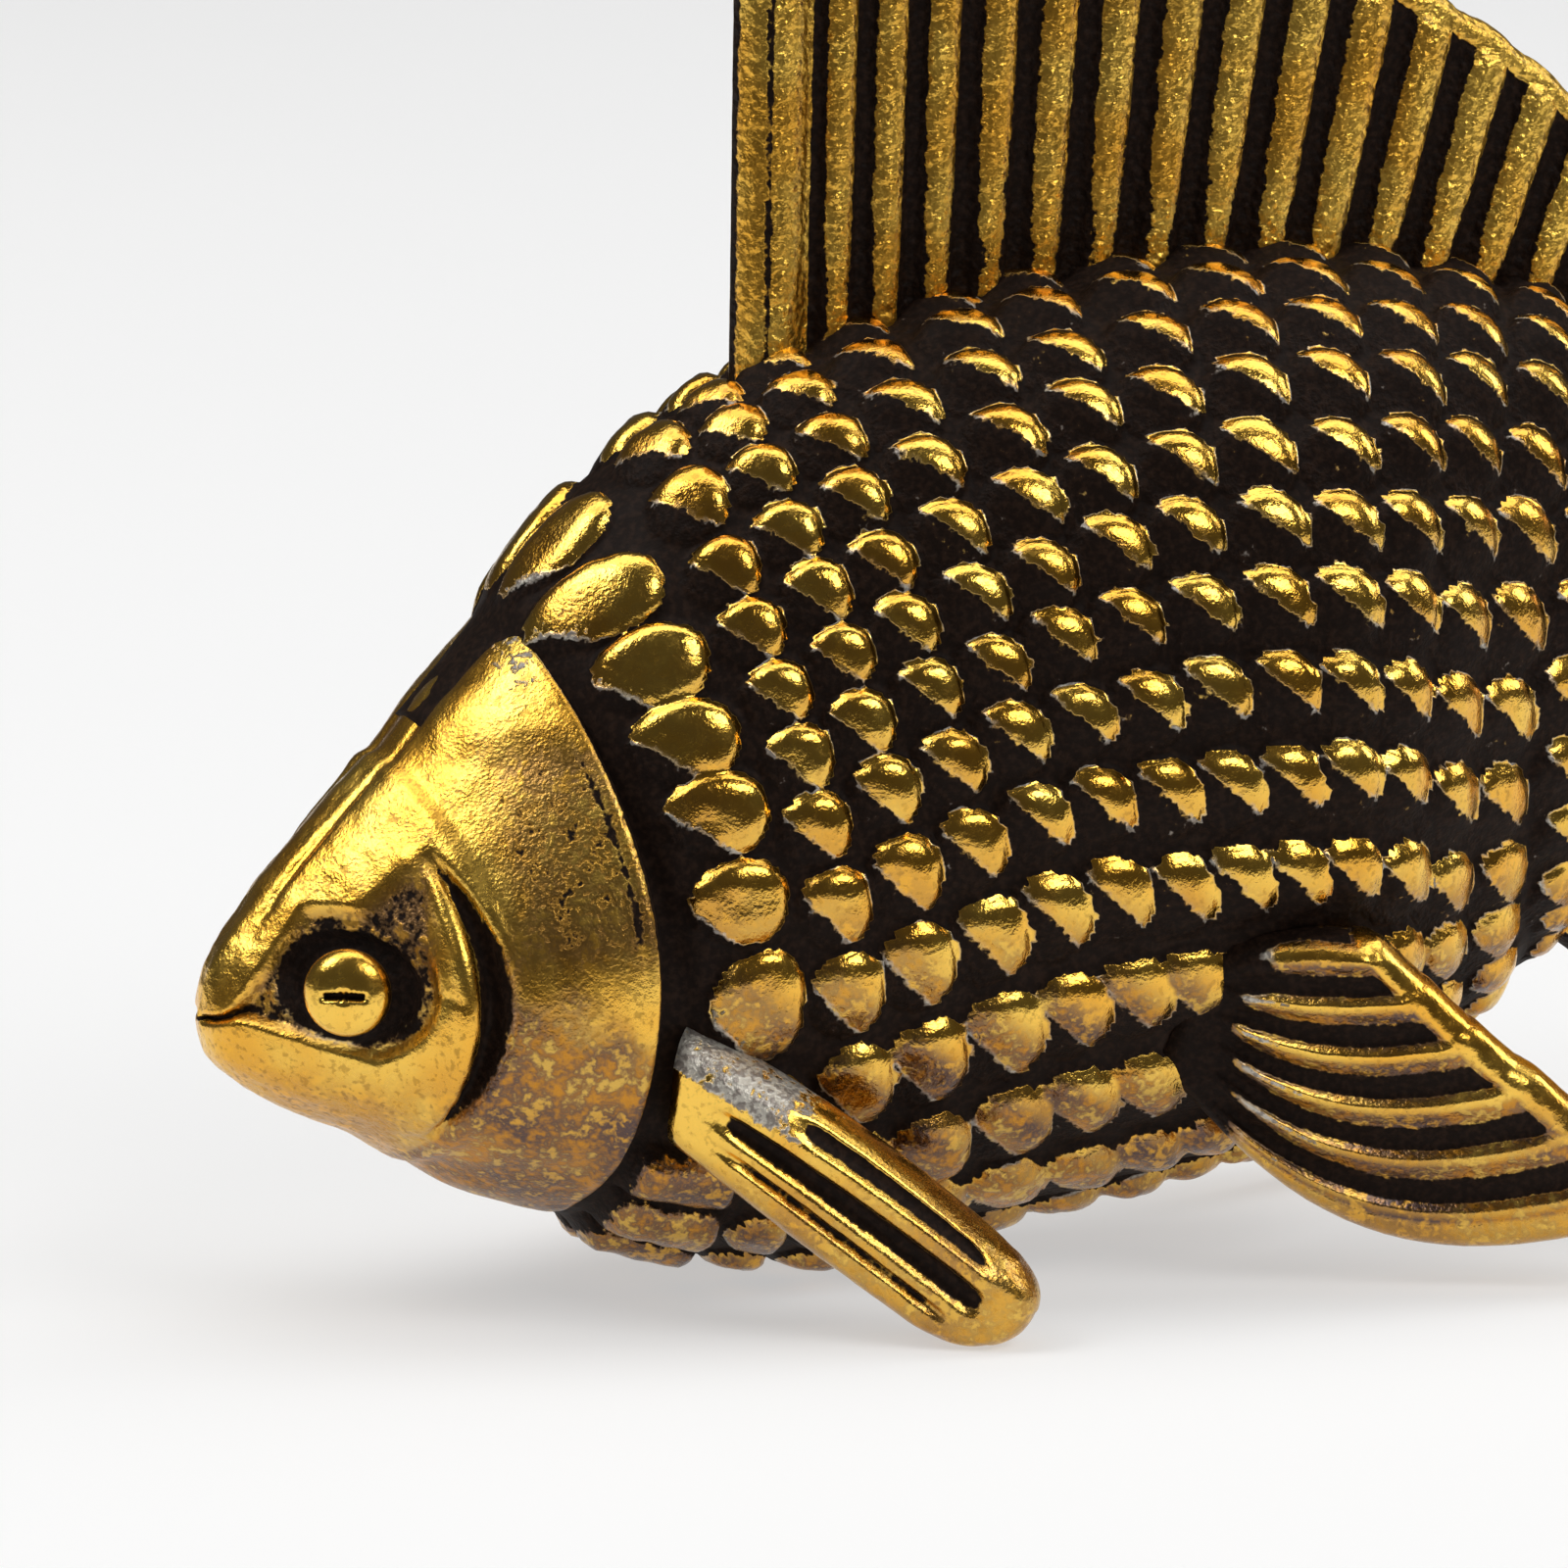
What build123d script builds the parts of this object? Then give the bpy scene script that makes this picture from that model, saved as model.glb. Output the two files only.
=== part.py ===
from build123d import *
import math
import os

# A small cast brass goldfish that stands on the tips of its two pectoral
# fins and on the lower lobe of its tail. Millimetres, head towards -X,
# left flank towards -Y, +Z up. While the pieces are shaped, X runs from the
# snout and Z from the floor. The finished pieces are then moved together, to
# put the origin under the middle of the fish.

# Head, from the snout to the rear edge of the gill covers
head_length = 9.0
head_depth = 14.0
head_width = 12.6
head_lift = 2.35
seam_radius = 18.6
seam_height = 7.95
spigot_width = 5.0
spigot_length = 2.4
gill_rim_width = 0.75
gill_plate_depth = 0.16
cheek_bow = 0.7
cheek_groove_width = 0.62
cheek_groove_depth = 0.5
face_recess_depth = 0.3
mouth_width = 0.26
mouth_depth = 0.5

# Trunk, from the gill covers to the end of the tail stem
trunk_length = 30.0
trunk_depth = 23.65
trunk_width = 14.6
belly_clearance = 0.2
scale_relief = 0.5
seam_groove_depth = 0.75

# Eyes
eye_width = 2.0
eye_rise = 0.62
eye_moat_width = 0.3
eye_seat_depth = 0.3
eye_peg_width = 0.9
eye_peg_length = 1.5
pupil_length = 0.9
pupil_width = 0.14
pupil_depth = 0.2

# Dorsal fin
dorsal_height = 12.4
dorsal_rake = 2.0
dorsal_thickness = 0.9
dorsal_spine_thickness = 1.4
dorsal_root_depth = 1.5

# Tail fin
tail_length = 12.4
tail_depth = 28.0
tail_thickness = 1.1
tail_root_depth = 1.6

# Anal fin
anal_rake = 4.7
anal_drop = 3.6
anal_thickness = 1.0
anal_root_depth = 1.2

# Pectoral fins
pectoral_length = 9.2
pectoral_width = 3.4
pectoral_thickness = 1.5
pectoral_peg_width = 1.6
pectoral_peg_length = 3.2

# Pelvic fins
pelvic_length = 10.0
pelvic_width = 4.9
pelvic_thickness = 1.2

# Ridges cast on every fin
ridge_height = 0.28
rim_height = 0.16

# Braze film between two pieces, and how far a cutting tool runs past a face
braze_gap = 0.05
overrun = 3.0

# Angles, degrees
eye_turn = 28.0
pectoral_heading = 27.0
pectoral_dive = 37.0
pectoral_roll = 12.0
pelvic_heading = 18.0
pelvic_dive = 16.0
pelvic_roll = 19.0

# Counts of scales along and around the left flank, and of fin rays
scale_columns = 16
scale_rows = 14
front_columns = 2
throat_rows = 3
dorsal_rays = 18
tail_rays = 14
anal_rays = 5
pectoral_rays = 3
pelvic_rays = 8

# Places of the fins: shares of the trunk's stations from front to stem, and
# shares of the half girth from the back to the belly
dorsal_start_share = 0.28
dorsal_end_share = 0.88
anal_start_share = 0.86
anal_end_share = 0.98
pectoral_place_share = 0.07
pectoral_girth_share = 0.72
pelvic_place_share = 0.55
pelvic_girth_share = 0.8

# Trunk outline at seven stations, one every three scale columns, from in
# front of the gill seam to the end of the stem
back_x_shares = (-0.14, 0.02, 0.18, 0.39, 0.61, 0.82, 1.0)
back_z_shares = (0.605, 0.819, 0.93, 0.99, 1.0, 0.94, 0.82)
belly_x_shares = (-0.05, 0.15, 0.36, 0.52, 0.61, 0.77, 0.97)
belly_z_shares = (0.06, 0.0, 0.03, 0.07, 0.11, 0.23, 0.47)
flank_width_shares = (0.78, 0.84, 0.88, 0.95, 1.0, 0.7, 0.33)
flank_lean_shares = (0.06, 0.03, 0.0, -0.04, -0.045, -0.065, 0.0)
# How the scale rows crowd towards the middle of the flank
row_slip_shares = (-0.24, -0.24, -0.24, -0.23, -0.18, 0.0, 0.0)
row_squeeze_shares = (0.2, 0.24, 0.28, 0.2, 0.14, -0.1, 0.0)
# How far the first scales reach forward: share of a column
front_reach_share = 0.65
# Crown of one scale: share along the column, share across the row, height
scale_crown_shares = (
    (0.14, 0.5, 0.35),
    (0.5, 0.15, 0.75),
    (0.84, 0.22, 0.8),
    (0.92, 0.5, 1.0),
    (0.84, 0.78, 0.8),
    (0.5, 0.85, 0.75),
)

# Snout: share of head depth from the throat. Head outline at the six stations
# behind it: place, top, bottom and width
snout_share = 0.343
head_x_shares = (0.04, 0.18, 0.38, 0.62, 0.89, 1.18)
head_top_shares = (0.44, 0.555, 0.692, 0.853, 1.025, 1.19)
head_bottom_shares = (0.27, 0.2, 0.14, 0.05, -0.01, -0.04)
head_width_shares = (0.16, 0.35, 0.59, 0.83, 0.97, 1.02)
# Half of one head section, from the crown to the throat: width, height
head_section_shares = (
    (0.0, 1.0),
    (0.36, 0.93),
    (0.8, 0.4),
    (1.0, -0.12),
    (0.82, -0.66),
    (0.36, -0.94),
    (0.0, -1.0),
)
# Rear end of the cheek: share of head length. Low and high ends of the groove
# behind it and of the gill cover's panel: shares of head depth from the throat
cheek_reach_share = 0.567
cheek_end_shares = (0.165, 0.63)
gill_plate_end_shares = (0.075, 0.85)
# Eye, recess around it and mouth line: shares of head length and depth, from
# the snout and from the throat. The eye's spread is a share of half the width
eye_place_shares = (0.289, 0.414)
eye_spread_share = 0.5
face_recess_shares = ((0.06, 0.36), (0.2, 0.47), (0.38, 0.54), (0.42, 0.44), (0.3, 0.32))
mouth_shares = ((-0.1, 0.37), (0.21, 0.31))

# Fin outlines
dorsal_height_shares = (1.0, 0.95, 0.64, 0.39, 0.15)
dorsal_rake_shares = (0.1, 0.3, 0.65, 1.0, 1.0)
anal_rake_shares = (1.0, 0.94, 0.57)
anal_drop_shares = (0.75, 1.0, 1.0)
tail_x_shares = (0.83, 0.98, 0.8, 0.63, 0.77, 1.0, 0.9)
tail_z_shares = (1.0, 0.84, 0.66, 0.52, 0.36, 0.16, 0.0)
tail_root_shares = (0.72, 0.28)
pectoral_root_shares = ((-0.1, 0.34), (0.05, -0.38))
pectoral_rim_shares = ((0.88, 0.44), (0.98, 0.3), (1.0, 0.04), (0.95, -0.19), (0.86, -0.34))
pectoral_bow_shares = (0.09, -0.03)
pectoral_peg_share = 0.15
pelvic_root_shares = ((-0.24, 0.42), (-0.27, -0.22))
pelvic_rim_shares = ((0.12, 0.71), (0.39, 0.42), (0.7, 0.12), (1.0, -0.22))
pelvic_bow_shares = (0.06, -0.56)
# Rows of one fin from root to rim: place, height of the ridges, of the rim.
# Straight rays need three rows, and bent ones more.
straight_row_shares = ((0.0, 1.0, 0.0), (0.94, 0.8, 0.2), (1.0, 0.0, 1.0))
bent_row_shares = (
    (0.0, 1.0, 0.0),
    (0.25, 1.0, 0.0),
    (0.5, 1.0, 0.0),
    (0.75, 1.0, 0.0),
    (0.94, 0.8, 0.2),
    (1.0, 0.0, 1.0),
)
# One ray from groove to groove: place across the ray, height of its ridge
ray_profile_shares = ((0.0, 0.0), (0.3, 1.0), (0.7, 1.0))


def along(shares, place):
    """Value, at a place from 0 to 1, of a smooth line through even steps."""
    last = len(shares) - 1
    step = min(max(int(place * last), 0), last - 1)
    part = place * last - step
    low = shares[step]
    high = shares[step + 1]
    before = shares[step - 1] if step > 0 else 2 * low - high
    after = shares[step + 2] if step + 2 <= last else 2 * high - low
    rise = (high - before) / 2
    fall = (after - low) / 2
    square = part * part
    cube = square * part
    return (
        (2 * cube - 3 * square + 1) * low
        + (cube - 2 * square + part) * rise
        + (3 * square - 2 * cube) * high
        + (cube - square) * fall
    )


def sew(triangles):
    """Closed solid from a list of triangles."""
    faces = []
    for corners in triangles:
        outline = Wire.make_polygon([Vector(*corner) for corner in corners], close=True)
        faces.append(Face(outline))
    return Solid(Shell(faces))


def across_prism(outline, half_width):
    """Prism of a closed side-view outline, reaching both ways along Y."""
    face = Face(outline)
    return Solid.extrude(face, Vector(0, 2 * half_width, 0)).moved(Location((0, -half_width, 0)))


def trunk_point(place, share, inset=0.0):
    """Point of the scale crowns, at shares of the trunk and of its half girth.

    The place runs from 0 under the gill covers to 1 at the end of the stem.
    The share runs from 0 on the back over the left flank (-Y) to 1 on the
    belly, and on to 2 over the right flank.
    """
    half = share if share <= 1 else 2 - share
    side = -1 if share <= 1 else 1
    turn = math.pi * half
    turn += along(row_slip_shares, place) * math.sin(math.pi * half)
    turn += along(row_squeeze_shares, place) * math.sin(2 * math.pi * half) / 2
    back_x = head_length + trunk_length * along(back_x_shares, place)
    back_z = belly_clearance + trunk_depth * along(back_z_shares, place)
    belly_x = head_length + trunk_length * along(belly_x_shares, place)
    belly_z = belly_clearance + trunk_depth * along(belly_z_shares, place)
    width = trunk_width / 2 * along(flank_width_shares, place)
    lean = trunk_length * along(flank_lean_shares, place)
    depth = math.hypot(back_x - belly_x, back_z - belly_z) / 2
    up = math.cos(turn)
    out = math.sin(turn)
    slope = math.hypot(up * width, out * depth)
    rise = up - inset * up * width / slope / depth
    x = (back_x + belly_x) / 2 + (back_x - belly_x) / 2 * rise + lean * out * out
    y = side * (width * out - inset * out * depth / slope)
    z = (back_z + belly_z) / 2 + (back_z - belly_z) / 2 * rise
    return (x, y, z)


def trunk_form():
    """Trunk before its seats are cut: a lattice of domed scales.

    Each scale is a ring of six points raised over the four corners of its
    cell, with its crest at the middle of the rear edge. The first column is
    longer than the others. In front of it the form is drawn in under the gill
    covers, and only the throat carries long raised bars there.
    """
    around = 2 * scale_rows
    columns = front_columns + scale_columns
    triangles = []

    def point(line, row, lift=0.0):
        inset = scale_relief * (1 - lift) if line > 1 else seam_groove_depth
        row = row % around
        reach = 0 if abs(row - scale_rows) <= throat_rows else front_reach_share
        forward = min(line / front_columns, max(front_columns + 1 - line, 0))
        return trunk_point((line - reach * forward) / columns, row / scale_rows, inset)

    def plain(start, end, row):
        low = (point(start, row), point(end, row))
        high = (point(start, row + 1), point(end, row + 1))
        triangles.append((low[0], low[1], high[1]))
        triangles.append((low[0], high[1], high[0]))

    def scale(start, row):
        near, far = point(start, row), point(start + 1, row)
        near_up, far_up = point(start, row + 1), point(start + 1, row + 1)
        ring = [point(start + a, row + b, lift) for a, b, lift in scale_crown_shares]
        triangles.append((near, ring[0], near_up))
        triangles.append((near, ring[1], ring[0]))
        triangles.append((near, far, ring[1]))
        triangles.append((far, ring[2], ring[1]))
        triangles.append((far, ring[3], ring[2]))
        triangles.append((far, far_up, ring[3]))
        triangles.append((far_up, ring[4], ring[3]))
        triangles.append((far_up, ring[5], ring[4]))
        triangles.append((far_up, near_up, ring[5]))
        triangles.append((near_up, ring[0], ring[5]))
        for step in range(1, len(ring) - 1):
            triangles.append((ring[3], ring[(3 + step) % len(ring)], ring[(4 + step) % len(ring)]))

    for row in range(around):
        for column in range(columns):
            throat = column == front_columns - 1 and abs(row + 0.5 - scale_rows) < throat_rows
            if column >= front_columns or throat:
                scale(column, row)
            else:
                plain(column, column + 1, row)
    for line in (0, columns):
        ring = [point(line, row) for row in range(around)]
        hub = tuple(sum(place[axis] for place in ring) / around for axis in range(3))
        for row in range(around):
            triangles.append((hub, ring[row], ring[(row + 1) % around]))
    return sew(triangles)


def seam_drum(radius):
    """Drum whose round side is the seam between the head and the trunk."""
    half_width = trunk_width / 2 + overrun
    drum = Cylinder(radius, 2 * half_width, rotation=(90, 0, 0))
    return drum.moved(Location((head_length - seam_radius, 0, seam_height)))


def spigot(gap=0.0):
    """Round spigot behind the head, or with a gap its socket in the trunk."""
    start = head_length - overrun
    length = overrun + spigot_length + gap
    rod = Cylinder(spigot_width / 2 + gap, length, rotation=(0, 90, 0))
    return rod.moved(Location((start + length / 2, 0, seam_height)))


def head_place(x_share, z_share):
    """Side-view point of the head from its shares of length and depth."""
    return Vector(head_length * x_share, 0, head_lift + head_depth * z_share)


def head_form(inset=0.0):
    """Plain head, lofted from the snout to behind the seam, or drawn in."""
    sections = [Vertex(inset, 0, head_place(0, snout_share).Z)]
    for station in range(len(head_x_shares)):
        x = head_length * head_x_shares[station] + inset * (1 - head_x_shares[station])
        top = head_lift + head_depth * head_top_shares[station] - inset
        bottom = head_lift + head_depth * head_bottom_shares[station] + inset
        width = head_width / 2 * head_width_shares[station] - inset
        middle = (top + bottom) / 2
        half = (top - bottom) / 2
        left = [(x, -width * a, middle + half * b) for a, b in head_section_shares]
        right = [(x, width * a, middle + half * b) for a, b in head_section_shares[-2:0:-1]]
        sections.append(Wire([Edge.make_spline([Vector(*p) for p in left + right], periodic=True)]))
    return Solid.make_loft(sections)


def peel(outline, depth):
    """What to take off the head's skin, to a depth, inside an outline."""
    return across_prism(outline, head_width) - head_form(depth)


def cheek_groove():
    """Crescent behind the cheek, pointed at both ends."""
    low, high = [head_place(cheek_reach_share, share) for share in cheek_end_shares]
    inner = (low + high) / 2
    low -= Vector(cheek_bow, 0, 0)
    high -= Vector(cheek_bow, 0, 0)
    outer = inner + Vector(cheek_groove_width, 0, 0)
    inner_arc = Edge.make_three_point_arc(high, inner, low)
    outer_arc = Edge.make_three_point_arc(low, outer, high)
    return peel(Wire([inner_arc, outer_arc]), cheek_groove_depth)


def gill_plate():
    """Shallow panel of the gill cover, inside its raised rear rim."""
    radius = seam_radius - gill_rim_width
    hub_x = head_length - seam_radius
    low_z, high_z = [head_lift + head_depth * share for share in gill_plate_end_shares]
    low_rear, high_rear = [
        Vector(hub_x + math.sqrt(radius ** 2 - (z - seam_height) ** 2), 0, z) for z in (low_z, high_z)
    ]
    front_x = head_length * cheek_reach_share + cheek_groove_width + gill_rim_width
    front = Vector(front_x, 0, (low_z + high_z) / 2)
    low_front = Vector(front_x - cheek_bow, 0, low_z)
    high_front = Vector(front_x - cheek_bow, 0, high_z)
    outline = Wire([
        Edge.make_three_point_arc(low_rear, Vector(hub_x + radius, 0, seam_height), high_rear),
        Edge.make_line(high_rear, high_front),
        Edge.make_three_point_arc(high_front, front, low_front),
        Edge.make_line(low_front, low_rear),
    ])
    return peel(outline, gill_plate_depth)


def face_recess():
    """Rounded triangle sunk around the eye, with its point at the mouth."""
    corners = [head_place(*shares) for shares in face_recess_shares]
    return peel(Wire([Edge.make_spline(corners, periodic=True)]), face_recess_depth)


def mouth_line():
    """Narrow groove of the closed mouth."""
    start = head_place(*mouth_shares[0])
    end = head_place(*mouth_shares[1])
    run = (end - start).normalized()
    out = Vector(-run.Z, 0, run.X) * (mouth_width / 2)
    outline = Wire.make_polygon([start - out, end - out, end + out, start + out], close=True)
    return peel(outline, mouth_depth)


def eye_seat(side):
    """Frame of one eye: origin on the head's skin, Z out of the head."""
    turn = math.radians(eye_turn)
    out = Vector(-math.sin(turn), side * math.cos(turn), 0)
    origin = head_place(*eye_place_shares) + Vector(0, side * head_width / 2 * eye_spread_share, 0)
    return Plane(origin=origin, x_dir=(0, 0, 1), z_dir=out)


def eye_cut(side):
    """Moat and peg hole of one eye."""
    radius = eye_width / 2 + eye_moat_width
    moat = Cylinder(radius, overrun).moved(Location((0, 0, overrun / 2 - eye_seat_depth)))
    depth = eye_seat_depth + eye_peg_length + braze_gap
    hole = Cylinder(eye_peg_width / 2 + braze_gap, depth).moved(Location((0, 0, -depth / 2)))
    return [eye_seat(side).location * tool for tool in (moat, hole)]


def make_eye(side):
    """Domed eye with a slit pupil, on a peg that holds it in the head."""
    seat = braze_gap - eye_seat_depth
    peg_end = seat - eye_peg_length
    peg = eye_peg_width / 2
    radius = eye_width / 2
    dome = (radius ** 2 + eye_rise ** 2) / (2 * eye_rise)
    crest = eye_rise - dome
    half_turn = math.asin(radius / dome) / 2
    shoulder = Vector(dome * math.sin(half_turn), 0, crest + dome * math.cos(half_turn))
    outline = Wire([
        Edge.make_line((0, 0, peg_end), (peg, 0, peg_end)),
        Edge.make_line((peg, 0, peg_end), (peg, 0, seat)),
        Edge.make_line((peg, 0, seat), (radius, 0, seat)),
        Edge.make_line((radius, 0, seat), (radius, 0, 0)),
        Edge.make_three_point_arc(Vector(radius, 0, 0), shoulder, Vector(0, 0, eye_rise)),
        Edge.make_line((0, 0, eye_rise), (0, 0, peg_end)),
    ])
    body = Solid.revolve(Face(outline), 360, Axis.Z)
    slit = Box(pupil_width, pupil_length, 2 * pupil_depth).moved(Location((0, 0, eye_rise)))
    return eye_seat(side).location * (body - slit)


def fin_plate(root, rim, thickness, rays, bows=None, lead=None, grow=0.0):
    """Ridged fin in a plane, its rays running from the root to the rim.

    The root and rim are even steps of (x, y) points, and the bows bend the
    first and last rays along Y. The first ray may be thicker. With a value
    to grow by, it is the plain tool that cuts the fin's seat.
    """
    row_shares = bent_row_shares if bows else straight_row_shares
    bows = bows or (0, 0)
    lines = []
    for ray in range(rays):
        lines += [((ray + share) / rays, height, ray) for share, height in ray_profile_shares]
    lines.append((1.0, 0.0, rays - 1))
    if grow:
        lines = [(0.0, 0.0, 0), (1.0, 0.0, rays - 1)]
    first = Vector(*root[0])
    last = Vector(*root[-1])
    across = (last - first).normalized()
    middle = (Vector(*rim[0]) + Vector(*rim[-1]) - first - last).normalized()
    triangles = []

    def point(line, row, face):
        place, height, ray = lines[line]
        share, ridge, bead = row_shares[row]
        start = Vector(*[along([p[axis] for p in root], place) for axis in range(2)])
        end = Vector(*[along([p[axis] for p in rim], place) for axis in range(2)])
        bend = (bows[0] * (1 - place) + bows[1] * place) * math.sin(math.pi * share)
        spot = start + (end - start) * share + Vector(0, bend)
        spot += across * grow * (2 * place - 1) - middle * grow * (1 - share)
        half = thickness / 2 + ridge_height * height * ridge + rim_height * bead
        if lead and ray == 0:
            half = lead / 2
        if grow:
            half = max(thickness / 2 + ridge_height, (lead or 0) / 2) + grow
        return (spot.X, spot.Y, face * half)

    def quad(a, b, c, d):
        triangles.append((a, b, c))
        triangles.append((a, c, d))

    rows = len(row_shares) - 1
    for row in range(rows):
        for line in range(len(lines) - 1):
            for face in (-1, 1):
                quad(point(line, row, face), point(line + 1, row, face),
                     point(line + 1, row + 1, face), point(line, row + 1, face))
        for line in (0, len(lines) - 1):
            quad(point(line, row, -1), point(line, row, 1),
                 point(line, row + 1, 1), point(line, row + 1, -1))
    for row in (0, rows):
        for line in range(len(lines) - 1):
            quad(point(line, row, -1), point(line, row, 1),
                 point(line + 1, row, 1), point(line + 1, row, -1))
    return sew(triangles)


def place_on(plane, solid):
    """Solid drawn flat, moved to its plane."""
    return plane.location * solid


def dorsal_fin(grow=0.0):
    """Long back fin, its root let into the back along the middle of the fish."""
    root = []
    rim = []
    for step in range(len(dorsal_height_shares)):
        share = step / (len(dorsal_height_shares) - 1)
        place = dorsal_start_share + (dorsal_end_share - dorsal_start_share) * share
        x, y, z = trunk_point(place, 0)
        root.append((x, z - dorsal_root_depth))
        rake = dorsal_rake * dorsal_rake_shares[step]
        rim.append((x + rake, z + dorsal_height * dorsal_height_shares[step]))
    lead = dorsal_spine_thickness
    return place_on(Plane.XZ, fin_plate(root, rim, dorsal_thickness, dorsal_rays, lead=lead, grow=grow))


def anal_fin(grow=0.0):
    """Small fin under the tail stem, swept back."""
    root = []
    rim = []
    for step in range(len(anal_drop_shares)):
        share = step / (len(anal_drop_shares) - 1)
        place = anal_start_share + (anal_end_share - anal_start_share) * share
        x, y, z = trunk_point(place, 1)
        root.append((x - anal_root_depth / 2, z + anal_root_depth))
        rim.append((x + anal_rake * anal_rake_shares[step], z - anal_drop * anal_drop_shares[step]))
    return place_on(Plane.XZ, fin_plate(root, rim, anal_thickness, anal_rays, grow=grow))


def tail_fin(grow=0.0):
    """Forked tail, its root let into the end of the stem."""
    back_x, y, back_z = trunk_point(1, 0)
    belly_x, y, belly_z = trunk_point(1, 1)
    stem_depth = back_z - belly_z
    root = []
    for share in tail_root_shares:
        x = belly_x + (back_x - belly_x) * share - tail_root_depth
        root.append((x, belly_z + stem_depth * share))
    rim = []
    for x_share, z_share in zip(tail_x_shares, tail_z_shares):
        rim.append((back_x + tail_length * x_share, tail_depth * z_share))
    return place_on(Plane.XZ, fin_plate(root, rim, tail_thickness, tail_rays, grow=grow))


def flank_plane(spot, heading, dive, roll):
    """Plane of a left flank fin: X along the fin, Y up across it.

    The heading turns it away from the fish, the dive tips it down, and the
    roll leans its upper edge outwards.
    """
    turn = math.radians(heading)
    tip = math.radians(dive)
    along_fin = Vector(math.cos(tip) * math.cos(turn), -math.cos(tip) * math.sin(turn), -math.sin(tip))
    upright = (Vector(0, 0, 1) + along_fin * math.sin(tip)).normalized()
    sideways = upright.cross(along_fin)
    lean = math.radians(roll)
    across_fin = upright * math.cos(lean) + sideways * math.sin(lean)
    if sideways.Y > 0:
        across_fin = upright * math.cos(lean) - sideways * math.sin(lean)
    return Plane(origin=spot, x_dir=along_fin, z_dir=along_fin.cross(across_fin))


def paired_fin(plane, length, width, root_shares, rim_shares, bow_shares, thickness, rays, grow):
    """Left flank fin in its plane, its outline given in shares of its size."""
    root = [(length * a, width * b) for a, b in root_shares]
    rim = [(length * a, width * b) for a, b in rim_shares]
    bows = [width * share for share in bow_shares]
    return place_on(plane, fin_plate(root, rim, thickness, rays, bows, grow=grow))


def pectoral_fin(grow=0.0):
    """Left paddle fin behind the gill cover; its tip stands on the floor.

    It lies close along the flank, so a peg behind its root holds it.
    """
    spot = trunk_point(pectoral_place_share, pectoral_girth_share, pectoral_thickness / 2)
    plane = flank_plane(spot, pectoral_heading, pectoral_dive, pectoral_roll)
    outline = (pectoral_root_shares, pectoral_rim_shares, pectoral_bow_shares)
    size = (pectoral_length, pectoral_width)
    length = pectoral_peg_length + grow
    peg = Cylinder(pectoral_peg_width / 2 + grow, length)
    peg = peg.moved(Location((pectoral_length * pectoral_peg_share, 0, -length / 2)))
    fin = paired_fin(plane, *size, *outline, pectoral_thickness, pectoral_rays, grow)
    return fin + place_on(plane, peg)


def pelvic_fin(grow=0.0):
    """Left fan fin on the lower flank, its rays bent down and back."""
    spot = trunk_point(pelvic_place_share, pelvic_girth_share)
    plane = flank_plane(spot, pelvic_heading, pelvic_dive, pelvic_roll)
    outline = (pelvic_root_shares, pelvic_rim_shares, pelvic_bow_shares)
    size = (pelvic_length, pelvic_width)
    return paired_fin(plane, *size, *outline, pelvic_thickness, pelvic_rays, grow)


def stood(fin, tool):
    """Fin and its seat tool, moved up or down so that the fin meets the floor."""
    drop = Location((0, 0, -fin.bounding_box().min.Z))
    return fin.moved(drop), tool.moved(drop)


def make_pieces():
    """Every piece of the fish by name, in its place."""
    left_pectoral, pectoral_seat = stood(pectoral_fin(), pectoral_fin(braze_gap))
    tail, tail_seat = stood(tail_fin(), tail_fin(braze_gap))
    left_pelvic, pelvic_seat = pelvic_fin(), pelvic_fin(braze_gap)
    seats = [pectoral_seat, pelvic_seat]
    seats += [seat.mirror(Plane.XZ) for seat in seats]
    seats += [dorsal_fin(braze_gap), anal_fin(braze_gap), tail_seat]
    trunk = trunk_form().cut(seam_drum(seam_radius + braze_gap))
    trunk = trunk.cut(spigot(braze_gap), *seats)
    head = head_form() & seam_drum(seam_radius)
    for tool in (cheek_groove(), gill_plate(), face_recess(), mouth_line()):
        head = head - tool
    head = head.cut(*eye_cut(-1), *eye_cut(1)) + spigot()
    return {
        "trunk": trunk,
        "head": head,
        "eye_left": make_eye(-1),
        "eye_right": make_eye(1),
        "dorsal_fin": dorsal_fin(),
        "tail_fin": tail,
        "anal_fin": anal_fin(),
        "pectoral_fin_left": left_pectoral,
        "pectoral_fin_right": left_pectoral.mirror(Plane.XZ),
        "pelvic_fin_left": left_pelvic,
        "pelvic_fin_right": left_pelvic.mirror(Plane.XZ),
    }


pieces = make_pieces()
boxes = [piece.bounding_box() for piece in pieces.values()]
low_x = min(box.min.X for box in boxes)
high_x = max(box.max.X for box in boxes)
low_z = min(box.min.Z for box in boxes)
middle = Location((-(low_x + high_x) / 2, 0, -low_z))
os.makedirs("parts", exist_ok=True)
for name, piece in pieces.items():
    export_step(piece.moved(middle), f"parts/{name}.step")
    print(name, round(piece.volume, 1), piece.is_valid)
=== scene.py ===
# %% [markdown]
# A small cast brass goldfish, antiqued: a dark patina fills every recess, and
# the high points are rubbed back to bright metal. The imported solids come
# first, because they say where each casting sits and how large it is.

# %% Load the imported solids
import bisect
import functools
import math

import bmesh
import bpy
from mathutils import Matrix, Vector, noise


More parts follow.
